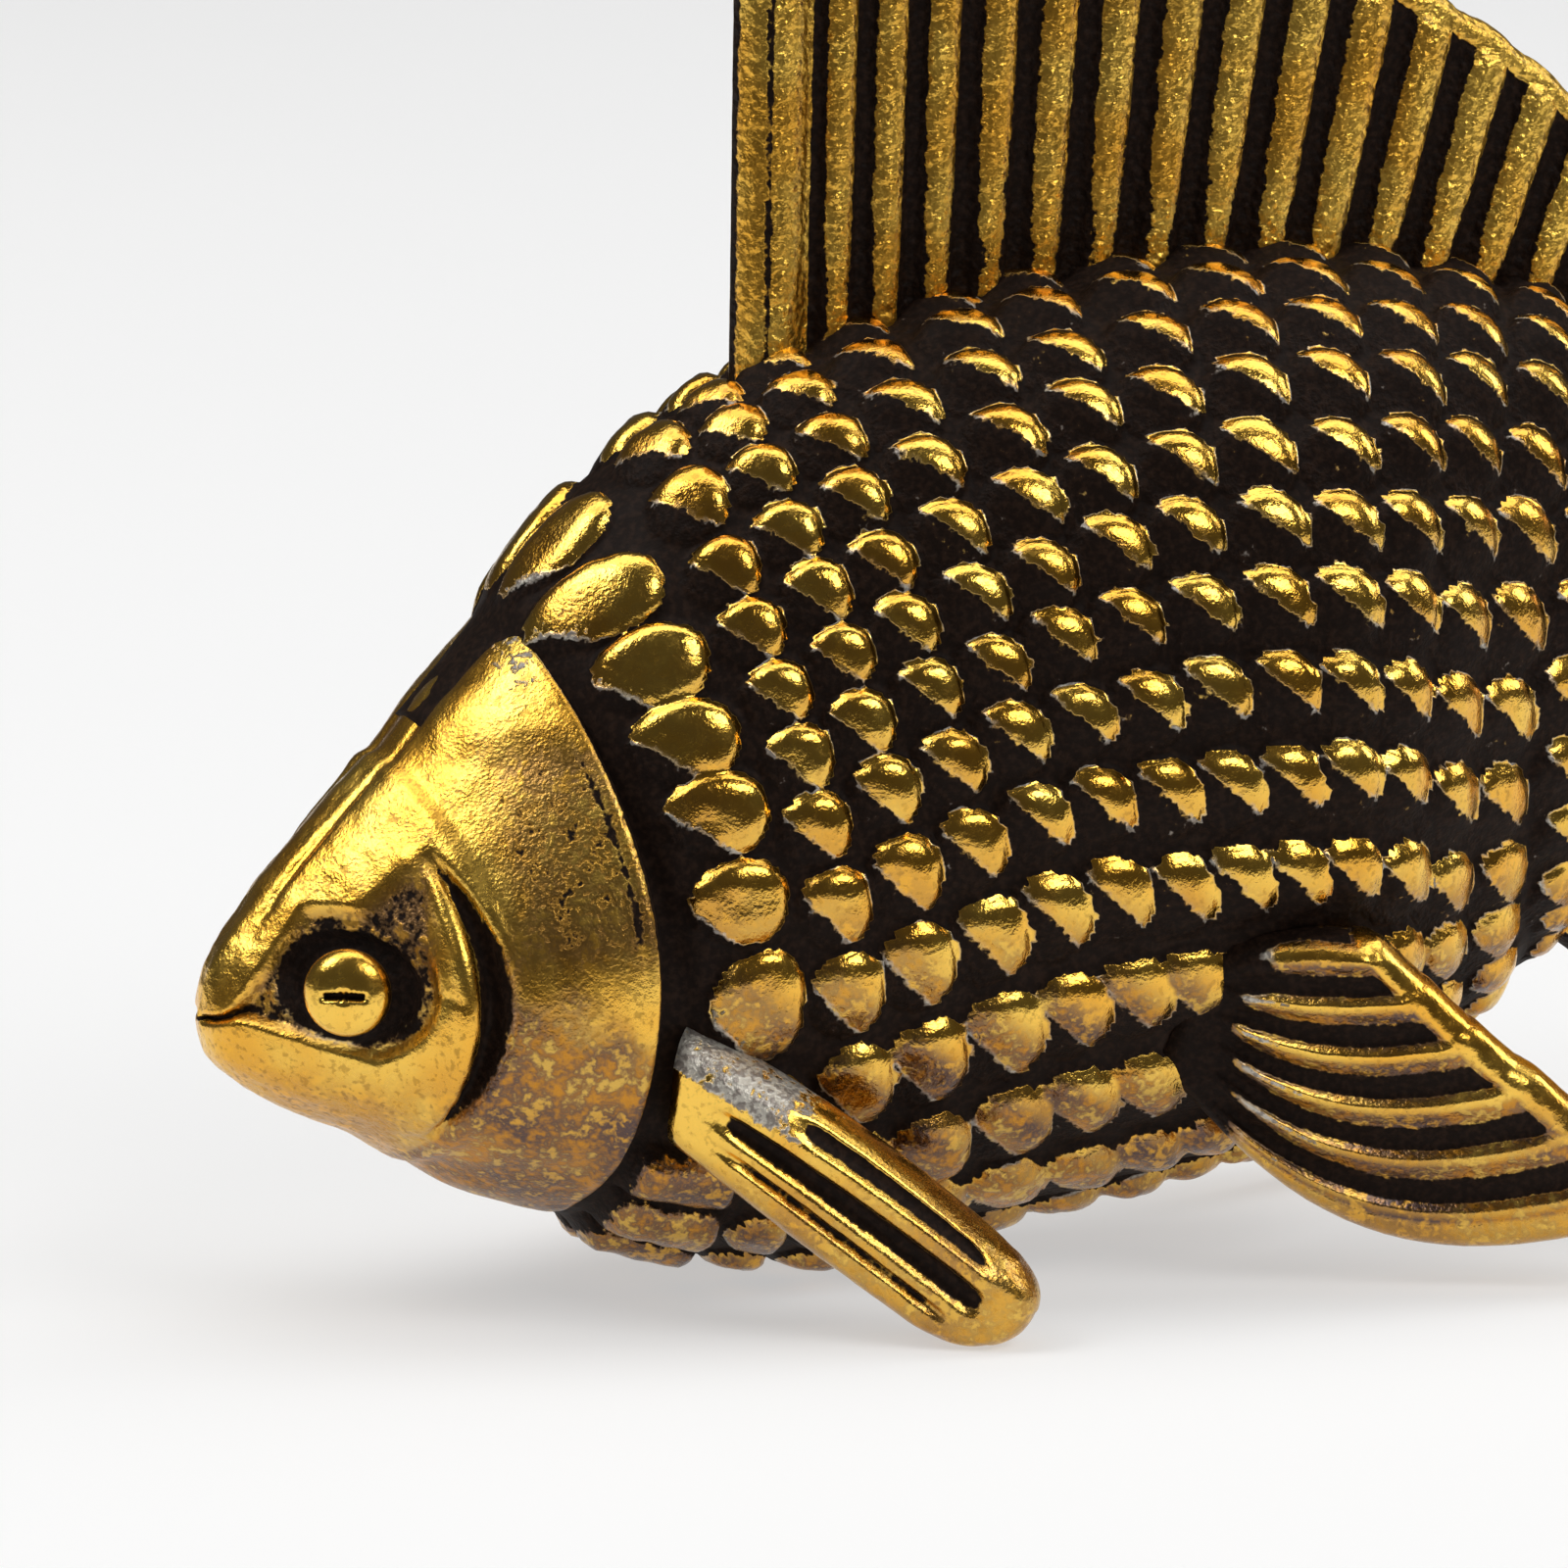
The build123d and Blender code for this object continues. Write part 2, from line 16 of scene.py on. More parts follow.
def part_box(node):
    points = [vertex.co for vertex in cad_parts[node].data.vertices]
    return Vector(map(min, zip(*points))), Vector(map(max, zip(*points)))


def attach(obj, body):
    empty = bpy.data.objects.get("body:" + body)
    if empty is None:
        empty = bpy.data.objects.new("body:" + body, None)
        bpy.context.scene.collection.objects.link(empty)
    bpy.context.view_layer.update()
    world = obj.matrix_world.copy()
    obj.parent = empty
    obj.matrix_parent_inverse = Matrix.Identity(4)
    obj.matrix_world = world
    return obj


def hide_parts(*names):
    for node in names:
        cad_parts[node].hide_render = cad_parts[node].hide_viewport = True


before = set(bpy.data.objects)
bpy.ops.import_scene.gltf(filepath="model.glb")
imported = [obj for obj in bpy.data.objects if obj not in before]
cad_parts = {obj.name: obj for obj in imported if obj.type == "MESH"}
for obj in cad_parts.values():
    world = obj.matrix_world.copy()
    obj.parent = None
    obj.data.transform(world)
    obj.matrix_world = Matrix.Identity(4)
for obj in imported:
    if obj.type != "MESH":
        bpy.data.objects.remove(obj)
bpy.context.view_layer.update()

print("solids", sorted(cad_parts))

# %% [markdown]
# The solids and this script share their sizes. Lengths are in millimetres
# from the snout and from the floor, the way that the fish was drawn, and one
# small function turns them into metres in the frame.

# %% Sizes shared with the solids
MM = 0.001
SNOUT_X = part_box("head")[0].x

head_length = 9.0
head_depth = 14.0
head_width = 12.6
head_lift = 2.35
seam_radius = 18.6
seam_height = 7.95
seam_hub = head_length - seam_radius

trunk_length = 30.0
trunk_depth = 23.65
trunk_width = 14.6
belly_clearance = 0.2
scale_relief = 0.5
seam_depth = 0.75

scale_columns = 16
scale_rows = 14
front_columns = 2
throat_rows = 3
columns = front_columns + scale_columns
rows_around = 2 * scale_rows

back_x = (-0.14, 0.02, 0.18, 0.39, 0.61, 0.82, 1.0)
back_z = (0.605, 0.819, 0.93, 0.99, 1.0, 0.94, 0.82)
belly_x = (-0.05, 0.15, 0.36, 0.52, 0.61, 0.77, 0.97)
belly_z = (0.06, 0.0, 0.03, 0.07, 0.11, 0.23, 0.47)
flank_width = (0.78, 0.84, 0.88, 0.95, 1.0, 0.7, 0.33)
flank_lean = (0.06, 0.03, 0.0, -0.04, -0.045, -0.065, 0.0)
row_slip = (-0.24, -0.24, -0.24, -0.23, -0.18, 0.0, 0.0)
row_squeeze = (0.2, 0.24, 0.28, 0.2, 0.14, -0.1, 0.0)

head_x = (0.0, 0.04, 0.18, 0.38, 0.62, 0.89, 1.18)
head_top = (0.343, 0.44, 0.555, 0.692, 0.853, 1.025, 1.19)
head_bottom = (0.343, 0.27, 0.2, 0.14, 0.05, -0.01, -0.04)
head_half = (0.0, 0.16, 0.35, 0.59, 0.83, 0.97, 1.02)
head_section = (
    (0.0, 1.0),
    (0.36, 0.93),
    (0.8, 0.4),
    (1.0, -0.12),
    (0.82, -0.66),
    (0.36, -0.94),
    (0.0, -1.0),
)


def in_frame(x, y, z):
    """Point in metres in the frame, from millimetres off snout and floor."""
    return Vector((SNOUT_X + x * MM, y * MM, z * MM))


def clamp(value):
    """Value held between 0 and 1."""
    return min(max(value, 0.0), 1.0)


def ease(low, high, value):
    """Smooth step from 0 at low to 1 at high."""
    share = clamp((value - low) / (high - low))
    return share * share * (3 - 2 * share)


def bell(value, width):
    """Soft bump, 1 at zero and nearly 0 at twice the width."""
    return math.exp(-((value / width) ** 2))


def along(shares, place):
    """Value of a smooth line through even steps, at a place from 0 to 1."""
    last = len(shares) - 1
    step = min(max(int(place * last), 0), last - 1)
    part = place * last - step
    low, high = shares[step], shares[step + 1]
    before = shares[step - 1] if step > 0 else 2 * low - high
    after = shares[step + 2] if step + 2 <= last else 2 * high - low
    rise, fall = (high - before) / 2, (after - low) / 2
    square, cube = part ** 2, part ** 3
    return (
        (2 * cube - 3 * square + 1) * low
        + (cube - 2 * square + part) * rise
        + (3 * square - 2 * cube) * high
        + (cube - square) * fall
    )


print("snout at", round(SNOUT_X, 5), "columns", columns, "rows", rows_around)

# %% [markdown]
# Every casting is a skin that is closed on itself. It could be sculpted from
# a cage of a few faces, but the relief follows rows and rays that a formula
# gives exactly. So one grid is wrapped round each form, its seam is merged,
# and any end that stays open is filled. Each point also keeps three numbers:
# worn is 0 where patina stays and 1 where a cloth would rub it off, the second
# is 1 where the metal is rubbed silvery and where glints and pale reflections
# are painted on it, and the third is 1 where it has tarnished and where shade
# is painted on it as tarnish.

# %% Wrap a grid into a casting
MERGE = 0.004 * MM
# The second number also carries painted glints and reflections, the third painted shade.
LAYERS = ("worn", "silver_and_glint", "tarnish_and_shade")


def add_object(name, data):
    """New object for a mesh, a lamp or a camera."""
    made = bpy.data.objects.new(name, data)
    bpy.context.scene.collection.objects.link(made)
    return made


def mesh_object(name, bm):
    """New object with the faces of a bmesh."""
    mesh = bpy.data.meshes.new(name)
    bm.to_mesh(mesh)
    bm.free()
    return add_object(name, mesh)


def wrap(name, around, along_count, spot):
    """Piece from a grid wrapped by spot(u, v): a point and its wear, silver with painted glints, and
    tarnish with painted shade.
    """
    bm = bmesh.new()
    bmesh.ops.create_grid(bm, x_segments=around, y_segments=along_count, size=0.5)
    layers = [bm.verts.layers.float.new(word) for word in LAYERS]
    for vert in bm.verts:
        point, *shares = spot(vert.co.x + 0.5, vert.co.y + 0.5)
        vert.co = in_frame(*point)
        for layer, share in zip(layers, shares):
            vert[layer] = share
    return finish_mesh(name, bm)


def finish_mesh(name, bm):
    """Merge the seam, close the ends, face outwards and make the piece."""
    bmesh.ops.remove_doubles(bm, verts=bm.verts, dist=MERGE)
    open_edges = [edge for edge in bm.edges if edge.is_boundary]
    if open_edges:
        bmesh.ops.holes_fill(bm, edges=open_edges, sides=0)
    bmesh.ops.recalc_face_normals(bm, faces=bm.faces)
    for face in bm.faces:
        face.smooth = True
    piece = mesh_object(name, bm)
    print(name, len(piece.data.polygons), "faces")
    return piece


def grain(point, size, seed=0.0):
    """Even noise about 0 over a casting, with lumps of a size in mm."""
    return noise.noise(Vector(point) / size + Vector((seed, seed, seed)))


# %% [markdown]
# The trunk is one casting with its scales. On the real fish each scale is a
# low tilted dome: its rear edge stands proud and is rubbed bright, and its
# front dips under a dark ground. Separate domes would leave hard cuts where
# they meet the ground, so the scales are raised in the skin itself, on the
# same lattice as the solid's, each a little different from the next.

# %% The lattice of the trunk
@functools.lru_cache(maxsize=None)
def trunk_station(place):
    """Values of one section of the trunk, worked out once."""
    tables = (row_slip, row_squeeze, back_x, back_z, belly_x, belly_z, flank_width, flank_lean)
    return [along(table, place) for table in tables]


def trunk_point(place, share, inset=0.0):
    """Point of the scale crowns at shares of the trunk and its half girth."""
    slip, squeeze, top_x, top_z, low_x, low_z, half_width, lean = trunk_station(place)
    half = share if share <= 1 else 2 - share
    side = -1 if share <= 1 else 1
    turn = math.pi * half + slip * math.sin(math.pi * half)
    turn += squeeze * math.sin(2 * math.pi * half) / 2
    top_x, low_x = head_length + trunk_length * top_x, head_length + trunk_length * low_x
    top_z, low_z = belly_clearance + trunk_depth * top_z, belly_clearance + trunk_depth * low_z
    width = trunk_width / 2 * half_width
    depth = math.hypot(top_x - low_x, top_z - low_z) / 2
    up, out = math.cos(turn), math.sin(turn)
    slope = math.hypot(up * width, out * depth)
    rise = up - inset * up * width / slope / depth
    x = (top_x + low_x) / 2 + (top_x - low_x) / 2 * rise + trunk_length * lean * out * out
    y = side * (width * out - inset * out * depth / slope)
    return (x, y, (top_z + low_z) / 2 + (top_z - low_z) / 2 * rise)


CELL_STRIDE = 7.31
CELL_OFFSET = 0.37
CELL_SCALE = 1.7


def chance(*key):
    """Number that is always the same for the same key, such as a column and a row."""
    spot = [key[i] * CELL_STRIDE + CELL_OFFSET if i < len(key) else 0.5 for i in range(3)]
    return noise.cell(Vector(spot) * CELL_SCALE) * 0.5 + 0.5


print("trunk depth in front", round(trunk_point(0, 0)[2] - trunk_point(0, 1)[2], 2))

# %% [markdown]
# Fish scales overlap in rows, and the ones beside the gill cover are larger
# and fewer. So the first two columns have their own row edges, in rows of the
# lattice, and the rest are even.

# %% Where each scale sits
NAPE_SCALES = 2
NAPE_COLUMN = 1.0
FIRST_COLUMN = 1.3
THROAT_END = 2.1
EDGED_COLUMNS = 2
front_edges = (
    (0.0, 1.6, 3.2, 4.7, 6.0, 7.2, 8.5, 10.0, 11.0, 12.0, 13.0, 14.0),
    (0.0, 1.5, 2.9, 4.0, 5.0, 6.0, 7.0, 8.0, 9.0, 10.0, 11.0, 12.0, 13.0, 14.0),
)
even_edges = tuple(range(scale_rows + 1))


def row_edges(column):
    """Rows between which the scales of one column sit."""
    return front_edges[column - front_columns] if column < front_columns + EDGED_COLUMNS else even_edges


def cell_front(column, step, high):
    """Where a cell starts: those of the first column reach forward to the seam."""
    if column > front_columns:
        return column
    if step < NAPE_SCALES:
        return NAPE_COLUMN
    return FIRST_COLUMN if high <= scale_rows - throat_rows else THROAT_END


print("scales beside the gill cover", len(row_edges(front_columns)) - 1)

# %% [markdown]
# Beside the gill cover the scales stand free, and a cloth rubs the whole of
# each. Further back only the proud rear edge is rubbed, which leaves a
# crescent. Small draws by chance keep two neighbours from being alike.

# %% The seat of one scale
UPPER_CHEEK_SCALES = (3, 4)
UPPER_CHEEK_WHOLE = 0.65
NEXT_WHOLE = 0.45
WHOLE_COLUMNS = (3.5, 6.5)
PLACE_DRIFT = 0.08
SIZE_DRIFT = 0.06
HEIGHT_DRIFT = 0.2
CRESCENT_RADIUS_SHARE = 0.57
WHOLE_WIDTH_SHARE = 0.41
WHOLE_HEIGHT_SHARE = 0.47
LONGEST_CELL = 1.9


def wholeness(column, step):
    """How much of a scale is rubbed: 1 for all of it, 0 for a crescent."""
    if column == front_columns:
        return UPPER_CHEEK_WHOLE if step in UPPER_CHEEK_SCALES else 1
    return NEXT_WHOLE * (1 - ease(*WHOLE_COLUMNS, column))


@functools.lru_cache(maxsize=None)
def scale_seat(column, step):
    """Centre, directions, radii and small differences of one left scale."""
    edges = row_edges(column)
    if not (front_columns <= column < columns and 0 <= step < len(edges) - 1):
        return None
    low, high = edges[step], edges[step + 1]
    start = cell_front(column, step, high)
    draw = [chance(column, step, number) - 0.5 for number in range(4)]
    line = (start + column + 1) / 2 + PLACE_DRIFT * draw[0]
    middle = (low + high) / 2 + PLACE_DRIFT * draw[1]
    along_cell = Vector(trunk_point((column + 1) / columns, middle / scale_rows))
    along_cell -= Vector(trunk_point(start / columns, middle / scale_rows))
    upward = Vector(trunk_point(line / columns, low / scale_rows))
    upward -= Vector(trunk_point(line / columns, high / scale_rows))
    out = along_cell.cross(upward)
    size = math.sqrt(out.length) * (1 + SIZE_DRIFT * draw[2])
    wide, tall = along_cell.length, upward.length
    out.normalize()
    rear = (Vector((1, 0, 0)) - out * out.x).normalized()
    up = out.cross(rear)
    up *= math.copysign(1, up.dot(upward))
    centre = Vector(trunk_point(line / columns, middle / scale_rows))
    whole = wholeness(column, step)
    crescent_radius = CRESCENT_RADIUS_SHARE * size
    whole_radii = (WHOLE_WIDTH_SHARE * min(wide, LONGEST_CELL * tall), WHOLE_HEIGHT_SHARE * tall)
    radii = [crescent_radius * (1 - whole) + radius * whole for radius in whole_radii]
    return centre, rear, up, radii, whole, 1 + HEIGHT_DRIFT * draw[3]


print("radii of a scale in mm", scale_seat(columns // 2, 7)[3])

# %% [markdown]
# One formula gives the dome of a scale and, from the same distances, where it
# is rubbed, silvery or tarnished. Part of the silver is painted glints at the
# crescent's tips and a painted pale reflection on its lower front, and the
# tarnish is painted shade on the lower front and low on the body. Its numbers
# are shares of the scale's radii, and its slant runs from the lower front to
# the upper rear.

# %% The dome of one scale
NO_SCALE = (0.0, 0.0, 0.0, 0.0)
SLANT_REAR, SLANT_UP = 0.64, 0.77
SET_BACK = 0.08
FRONT_TAPER = 0.3
DISH_DEPTH = 0.12
FRONT_LIFT = 0.22
REAR_LIFT = 0.7
WHOLE_LIFT = 0.4
CHORD = 0.28
BELLY_CHORD = 0.4
FRONT_WEAR = 0.28
BELLY_Z = (11, 6)
# Below these heights the scales are darkened with painted shade, as tarnish.
SHADED_BELLY_Z = (7, 3)


def scale_dome(seat, point):
    """Height, wear, silver with painted glints and reflections, and painted shade of one scale at a point.

    Its proud edge is the arc at the rear and above. In front and below it
    dips under its neighbours, and the rubbed metal ends ragged along a
    chord. A whole scale is rubbed nearly all over and narrows to the front.
    """
    centre, rear, up, (wide, tall), whole, height = seat
    gap = point - centre
    x = gap.dot(rear) / wide + SET_BACK * (1 - whole)
    z = gap.dot(up) / tall / (1 - FRONT_TAPER * whole * clamp(-x)) + SET_BACK * (1 - whole)
    power = 2 + 0.5 * whole
    edge = (abs(x) ** power + abs(z) ** power) ** (1 / power)
    if edge >= 1:
        return NO_SCALE
    dome = math.sqrt(1 - edge ** (2.6 + 0.5 * whole)) - DISH_DEPTH * whole * bell(edge, 0.5)
    slant = SLANT_REAR * x + SLANT_UP * z
    tip = ease(0.45, 0.85, abs(SLANT_UP * x - SLANT_REAR * z))
    rise = FRONT_LIFT + WHOLE_LIFT * whole + (REAR_LIFT - WHOLE_LIFT * whole) * ease(-0.8, 0.35, slant)
    low = ease(*BELLY_Z, point.z)
    chord = CHORD - whole - BELLY_CHORD * low * (1 - whole)
    rubbed = FRONT_WEAR + (1 - FRONT_WEAR) * ease(chord - 0.3, chord + 0.12, slant)
    # Silver along the ragged chord, painted glints at the crescent's tips, and a painted pale reflection on
    # the lower front.
    silver_and_glint = ease(chord + 0.1, chord - 0.2, slant) * (0.15 + 0.75 * tip) + 0.6 * ease(-0.2, -0.7, slant)
    # Painted shade, as tarnish: the lower front of each scale, more so low on the body, and every scale
    # near the belly.
    tarnish_and_shade = ease(0.75, 0.0, slant) * (0.25 + 0.75 * low) + 0.7 * ease(*SHADED_BELLY_Z, point.z)
    return clamp(dome * rise * height), ease(0.05, 0.4, dome) * rubbed, silver_and_glint, clamp(tarnish_and_shade)


def scale_lift(column, row):
    """Height, wear, silver with painted glints, and painted shade of the highest scale at a place."""
    if column < NAPE_COLUMN:
        return NO_SCALE
    half = min(row, rows_around - row)
    point = Vector(trunk_point(column / columns, half / scale_rows))
    best = NO_SCALE
    for near in (int(column) - 1, int(column), int(column) + 1):
        if near < front_columns:
            continue
        step = bisect.bisect_right(row_edges(near), half) - 1
        for close in (step - 1, step, step + 1):
            seat = scale_seat(near, close)
            if seat:
                best = max(best, scale_dome(seat, point))
    return best


print("highest scale", round(max(scale_lift(9, row / 9)[0] for row in range(9 * scale_rows)), 2))

# %% [markdown]
# The highest scale wins at every point, so neighbours lap without a cut. The
# throat has a few long bars instead, where the real fish has its gill rays.

# %% The throat bars and the skin of the trunk
THROAT_START = (0.6, 0.8)
THROAT_FADE = 0.25
GROUND_COLUMNS = (1.1, 1.5)
SKIN_GRAIN = 0.02
CAP_BULGE = 0.9
RING_STEPS = 14
COLUMN_STEPS = 12
CAP_STEPS = 6
cap_start = columns * COLUMN_STEPS / (columns * COLUMN_STEPS + CAP_STEPS)


def throat_lift(column, row):
    """Height of the long bars on the throat, just behind the gill covers."""
    across = abs(row - scale_rows)
    bar = math.sin(math.pi * (row % 1)) ** 0.5
    ends = ease(*THROAT_START, column) * (1 - ease(THROAT_END - THROAT_FADE, THROAT_END, column))
    return bar * ends * (1 - ease(throat_rows - 0.3, throat_rows + 0.1, across))


def trunk_spot(u, v):
    """Point, wear, silver with painted glints, and tarnish with painted shade of the trunk's skin, closed
    by a round cap.
    """
    column = min(columns * min(v / cap_start, 1.0), columns - 1e-6)
    row = u * rows_around
    cap = max(v - cap_start, 0) / (1 - cap_start)
    bars = throat_lift(column, row)
    lift, worn, silver_and_glint, tarnish_and_shade = (bars, bars, 0.0, 1.0) if bars > 0 else scale_lift(column, row)
    ground = seam_depth + (scale_relief - seam_depth) * ease(*GROUND_COLUMNS, column)
    point = Vector(trunk_point(column / columns, 2 * u, ground * (1 - lift)))
    point += Vector((0, 1, 1)) * grain(point, 0.45) * SKIN_GRAIN * (1 + lift)
    if cap:
        hub = Vector(trunk_point(1, 0)) / 2 + Vector(trunk_point(1, 1)) / 2
        point = hub + (point - hub) * math.sqrt(max(1 - cap * cap, 0)) + Vector((CAP_BULGE * cap, 0, 0))
    return point, worn, silver_and_glint, tarnish_and_shade


trunk = wrap("trunk_skin", rows_around * RING_STEPS, columns * COLUMN_STEPS + CAP_STEPS, trunk_spot)

# %% [markdown]
# The head is one casting too: forehead, cheeks, gill covers and mouth. A
# subdivided cage would need many edge loops for its sharp folds. Instead each
# fold is a short formula of where a point lies in side view, which lowers or
# raises the skin: a pit round the eye, a ridge with a deep groove behind the
# cheek, and a thin rim along the gill cover.

# %% The plain head
head_loop = list(head_section) + [(-y, z) for y, z in head_section[-2:0:-1]]


def loop_point(turn):
    """Width and height shares of the head's section, at a turn from 0 to 1."""
    count = len(head_loop)
    step = int(turn * count) % count
    part = turn * count % 1
    four = [head_loop[(step + shift - 1) % count] for shift in range(4)]
    return [along([p[axis] for p in four], (1 + part) / 3) for axis in range(2)]


def head_point(station, turn, inset=0.0):
    """Point of the head's skin, drawn in by an inset."""
    share = station / (len(head_x) - 1)
    x_share = along(head_x, share)
    top = head_lift + head_depth * along(head_top, share) - inset
    bottom = head_lift + head_depth * along(head_bottom, share) + inset
    width = max(head_width / 2 * along(head_half, share) - inset, 0)
    wide, high = loop_point(turn)
    half = max((top - bottom) / 2, 0)
    x = head_length * x_share + inset * (1 - x_share)
    return (x, -width * wide, (top + bottom) / 2 + half * high)


@functools.lru_cache(maxsize=None)
def last_station(turn):
    """Station where the skin meets the round seam behind the gill covers."""
    low, high = 4.0, 6.0
    for _ in range(20):
        middle = (low + high) / 2
        x, y, z = head_point(middle, turn)
        if math.hypot(x - seam_hub, z - seam_height) > seam_radius:
            high = middle
        else:
            low = middle
    return low


print("seam meets the crown at station", round(last_station(0.0), 3))

# %% [markdown]
# Each fold is worked out from the distance of a point to a line or a curve in
# side view. Positive numbers draw the skin in. Widths and depths are in
# millimetres, and every fold says how the metal there is worn or tarnished; the
# gill cover's fold also paints shade and a sheen on it.

# %% The pit round the eye and the hollow above it
eye_spot = Vector((2.6, 8.15))
pit_tip = Vector((0.4, 7.4))
pit_radius = 1.72
pit_depth = 0.3
pit_slope = (0.1, -0.22)
pit_wear = 0.54
pit_tarnish = 0.8
moat_depth = 0.3
moat_slope = (1.4, 1.15)
moat_wear = 0.6
moat_wear_slope = (1.38, 1.2)
lid_radius = 1.46
lid_width = 0.1
lid_height = 0.07
hollow_tip = Vector((4.6, 11.3))
hollow_end = Vector((3.4, 9.0))
hollow_radius = 1.0
hollow_depth = 0.14
hollow_slope = (0.15, -0.3)
hollow_wear_share = 0.9
silver_ring = (1.5, 1.1)
silver_level = (9, 7.5)


def tear_distance(spot, tip, end, radius):
    """Signed distance from a teardrop that widens from its tip to its end."""
    axis = end - tip
    share = clamp((spot - tip).dot(axis) / axis.length_squared)
    return (spot - tip - axis * share).length - radius * share


def eye_fold(spot):
    """Inset, wear, silver and tarnish of the pit, its moat and lid, and the hollow."""
    pit = ease(*pit_slope, tear_distance(spot, pit_tip, eye_spot, pit_radius))
    hollow = ease(*hollow_slope, tear_distance(spot, hollow_tip, hollow_end, hollow_radius))
    eye = (spot - eye_spot).length
    inset = pit_depth * pit + moat_depth * ease(*moat_slope, eye) + hollow_depth * hollow * (1 - pit)
    inset -= lid_height * bell(eye - lid_radius, lid_width) * pit
    worn = -pit_wear * max(pit, hollow_wear_share * hollow) - moat_wear * ease(*moat_wear_slope, eye)
    silver_and_glint = ease(*silver_ring, eye) * ease(*silver_level, spot.y)
    return inset, worn, silver_and_glint, pit_tarnish * max(pit, hollow)


print("the skin is drawn in at the eye by", round(eye_fold(eye_spot)[0], 3), "mm")

# %% [markdown]
# The cheek ends in a round ridge that is rubbed bright, with a deep dark
# groove behind it. A carved channel would be as wide at its ends as in the
# middle. This one thins out at both ends, as its width follows the ridge.

# %% The cheek's ridge and groove
cheek_hub = Vector((-2.82, 7.92))
cheek_radius = 7.92
cheek_half_span = 3.26
cheek_ridge_height = 0.16
cheek_ridge_width = 0.22
cheek_ridge_lead = 0.24
cheek_groove_width = 0.62
cheek_groove_depth = 0.55
cheek_groove_wear = 1.3
cheek_silver = 0.4
cheek_silver_place = 0.9
cheek_silver_width = 0.4
cheek_silver_level = (9, 7)
crease_start = Vector((4.0, 8.2))
crease_across = Vector((0.2, 1.0)).normalized()
crease_width = 0.06
crease_depth = 0.08


def behind_cheek(spot):
    """Distance of a point behind the round rear edge of the cheek."""
    return (spot - cheek_hub).length - cheek_radius


def cheek_fold(spot):
    """Inset, wear, silver and tarnish of the cheek's ridge, groove and crease."""
    behind = behind_cheek(spot)
    taper = max(1 - ((spot.y - cheek_hub.y) / cheek_half_span) ** 2, 0)
    width = cheek_groove_width * taper
    groove = math.sqrt(taper) * ease(-0.03, 0.1, behind) * (1 - ease(0.35 * width, width + 0.3, behind))
    ridge = math.sqrt(taper) * bell(behind + cheek_ridge_lead, cheek_ridge_width)
    inset = cheek_groove_depth * groove - cheek_ridge_height * ridge
    crease = bell((spot - crease_start).dot(crease_across), crease_width)
    inset += crease_depth * crease * ease(3.7, 3.95, spot.x) * (1 - ease(4.75, 4.95, spot.x))
    silver_and_glint = cheek_silver * bell(behind - cheek_silver_place, cheek_silver_width)
    return inset, -cheek_groove_wear * groove, silver_and_glint * ease(*cheek_silver_level, spot.y), 0.0


cheek_end = cheek_hub + Vector((cheek_radius, 0))
print("the cheek ends", round(cheek_end.x, 2), "mm behind the snout")

# %% [markdown]
# The gill cover is a shallow plate inside a thin raised rim. Its upper part
# is darkened olive as painted shade, and its lower part is brown, partly
# tarnish and partly painted shade that darkens towards the bottom, so this
# fold says most about colour.

# %% The gill cover's plate and rim
gill_rim = 0.36
gill_plate_depth = 0.13
gill_edge_round = 0.16
gill_rim_slope = 0.14
gill_seam_lead = 0.08
gill_seam_width = 0.07
gill_seam_wear = 0.35
nape_shine = 0.7
nape_shine_spot = Vector((7.0, 15.2))
nape_shine_width = 1.3
# The lower gill cover and the jaw are darkened, partly as tarnish and partly as painted shade.
tarnish_and_shade_level = (9.6, 7.8)
tarnish_and_shade_tilt = 0.6
tarnish_and_shade_hub = 5.5
jaw_shade = 0.45
jaw_level = (7.5, 4.5)
# The upper gill cover is darkened olive as painted shade.
olive_shade_patina = 0.41
olive_shade_tarnish = 0.6


def gill_fold(spot, lump):
    """Inset, wear, silver with a painted sheen on the nape, and tarnish with painted shade of the gill
    cover, which is olive above and darker low down.
    """
    x, z = spot
    behind = behind_cheek(spot)
    ahead = seam_radius - math.hypot(x - seam_hub, z - seam_height)
    plate = ease(gill_rim, gill_rim + gill_rim_slope, ahead) * ease(0.5, 1.0, behind)
    plate *= ease(3.0, 3.8, z) * (1 - ease(12.9, 14.2, z))
    round_off = clamp(1 - ahead / gill_edge_round)
    inset = gill_plate_depth * plate + gill_edge_round * (1 - math.sqrt(1 - round_off ** 2))
    # Painted shade: the upper gill cover turns olive, with patina and tarnish.
    olive_shade = ease(0.2, 0.7, behind) * ease(8.2, 9.4, z) * (1 - ease(12.8, 14.4, z)) * ease(5.2, 6.4, x)
    seam = bell(ahead - gill_rim - gill_seam_lead, gill_seam_width) * plate
    # Painted shade, partly tarnish: darker towards the bottom, with a ragged edge.
    level = z + tarnish_and_shade_tilt * (x - tarnish_and_shade_hub) + lump
    tarnish_and_shade = ease(*tarnish_and_shade_level, level) * ease(0.1, 0.4, behind) + jaw_shade * ease(*jaw_level, z)
    # A painted sheen, in silver, on the nape.
    silver_and_glint = nape_shine * bell((spot - nape_shine_spot).length, nape_shine_width)
    return inset, -gill_seam_wear * seam - olive_shade_patina * olive_shade, silver_and_glint, tarnish_and_shade + olive_shade_tarnish * olive_shade


print("the gill cover's rim is", gill_rim, "mm wide")

# %% [markdown]
# The mouth is a short slit, and a low ridge runs along the top of the head.
# Then all the folds are added up, with the faint unevenness of a casting,
# which is calmer on the gill cover.

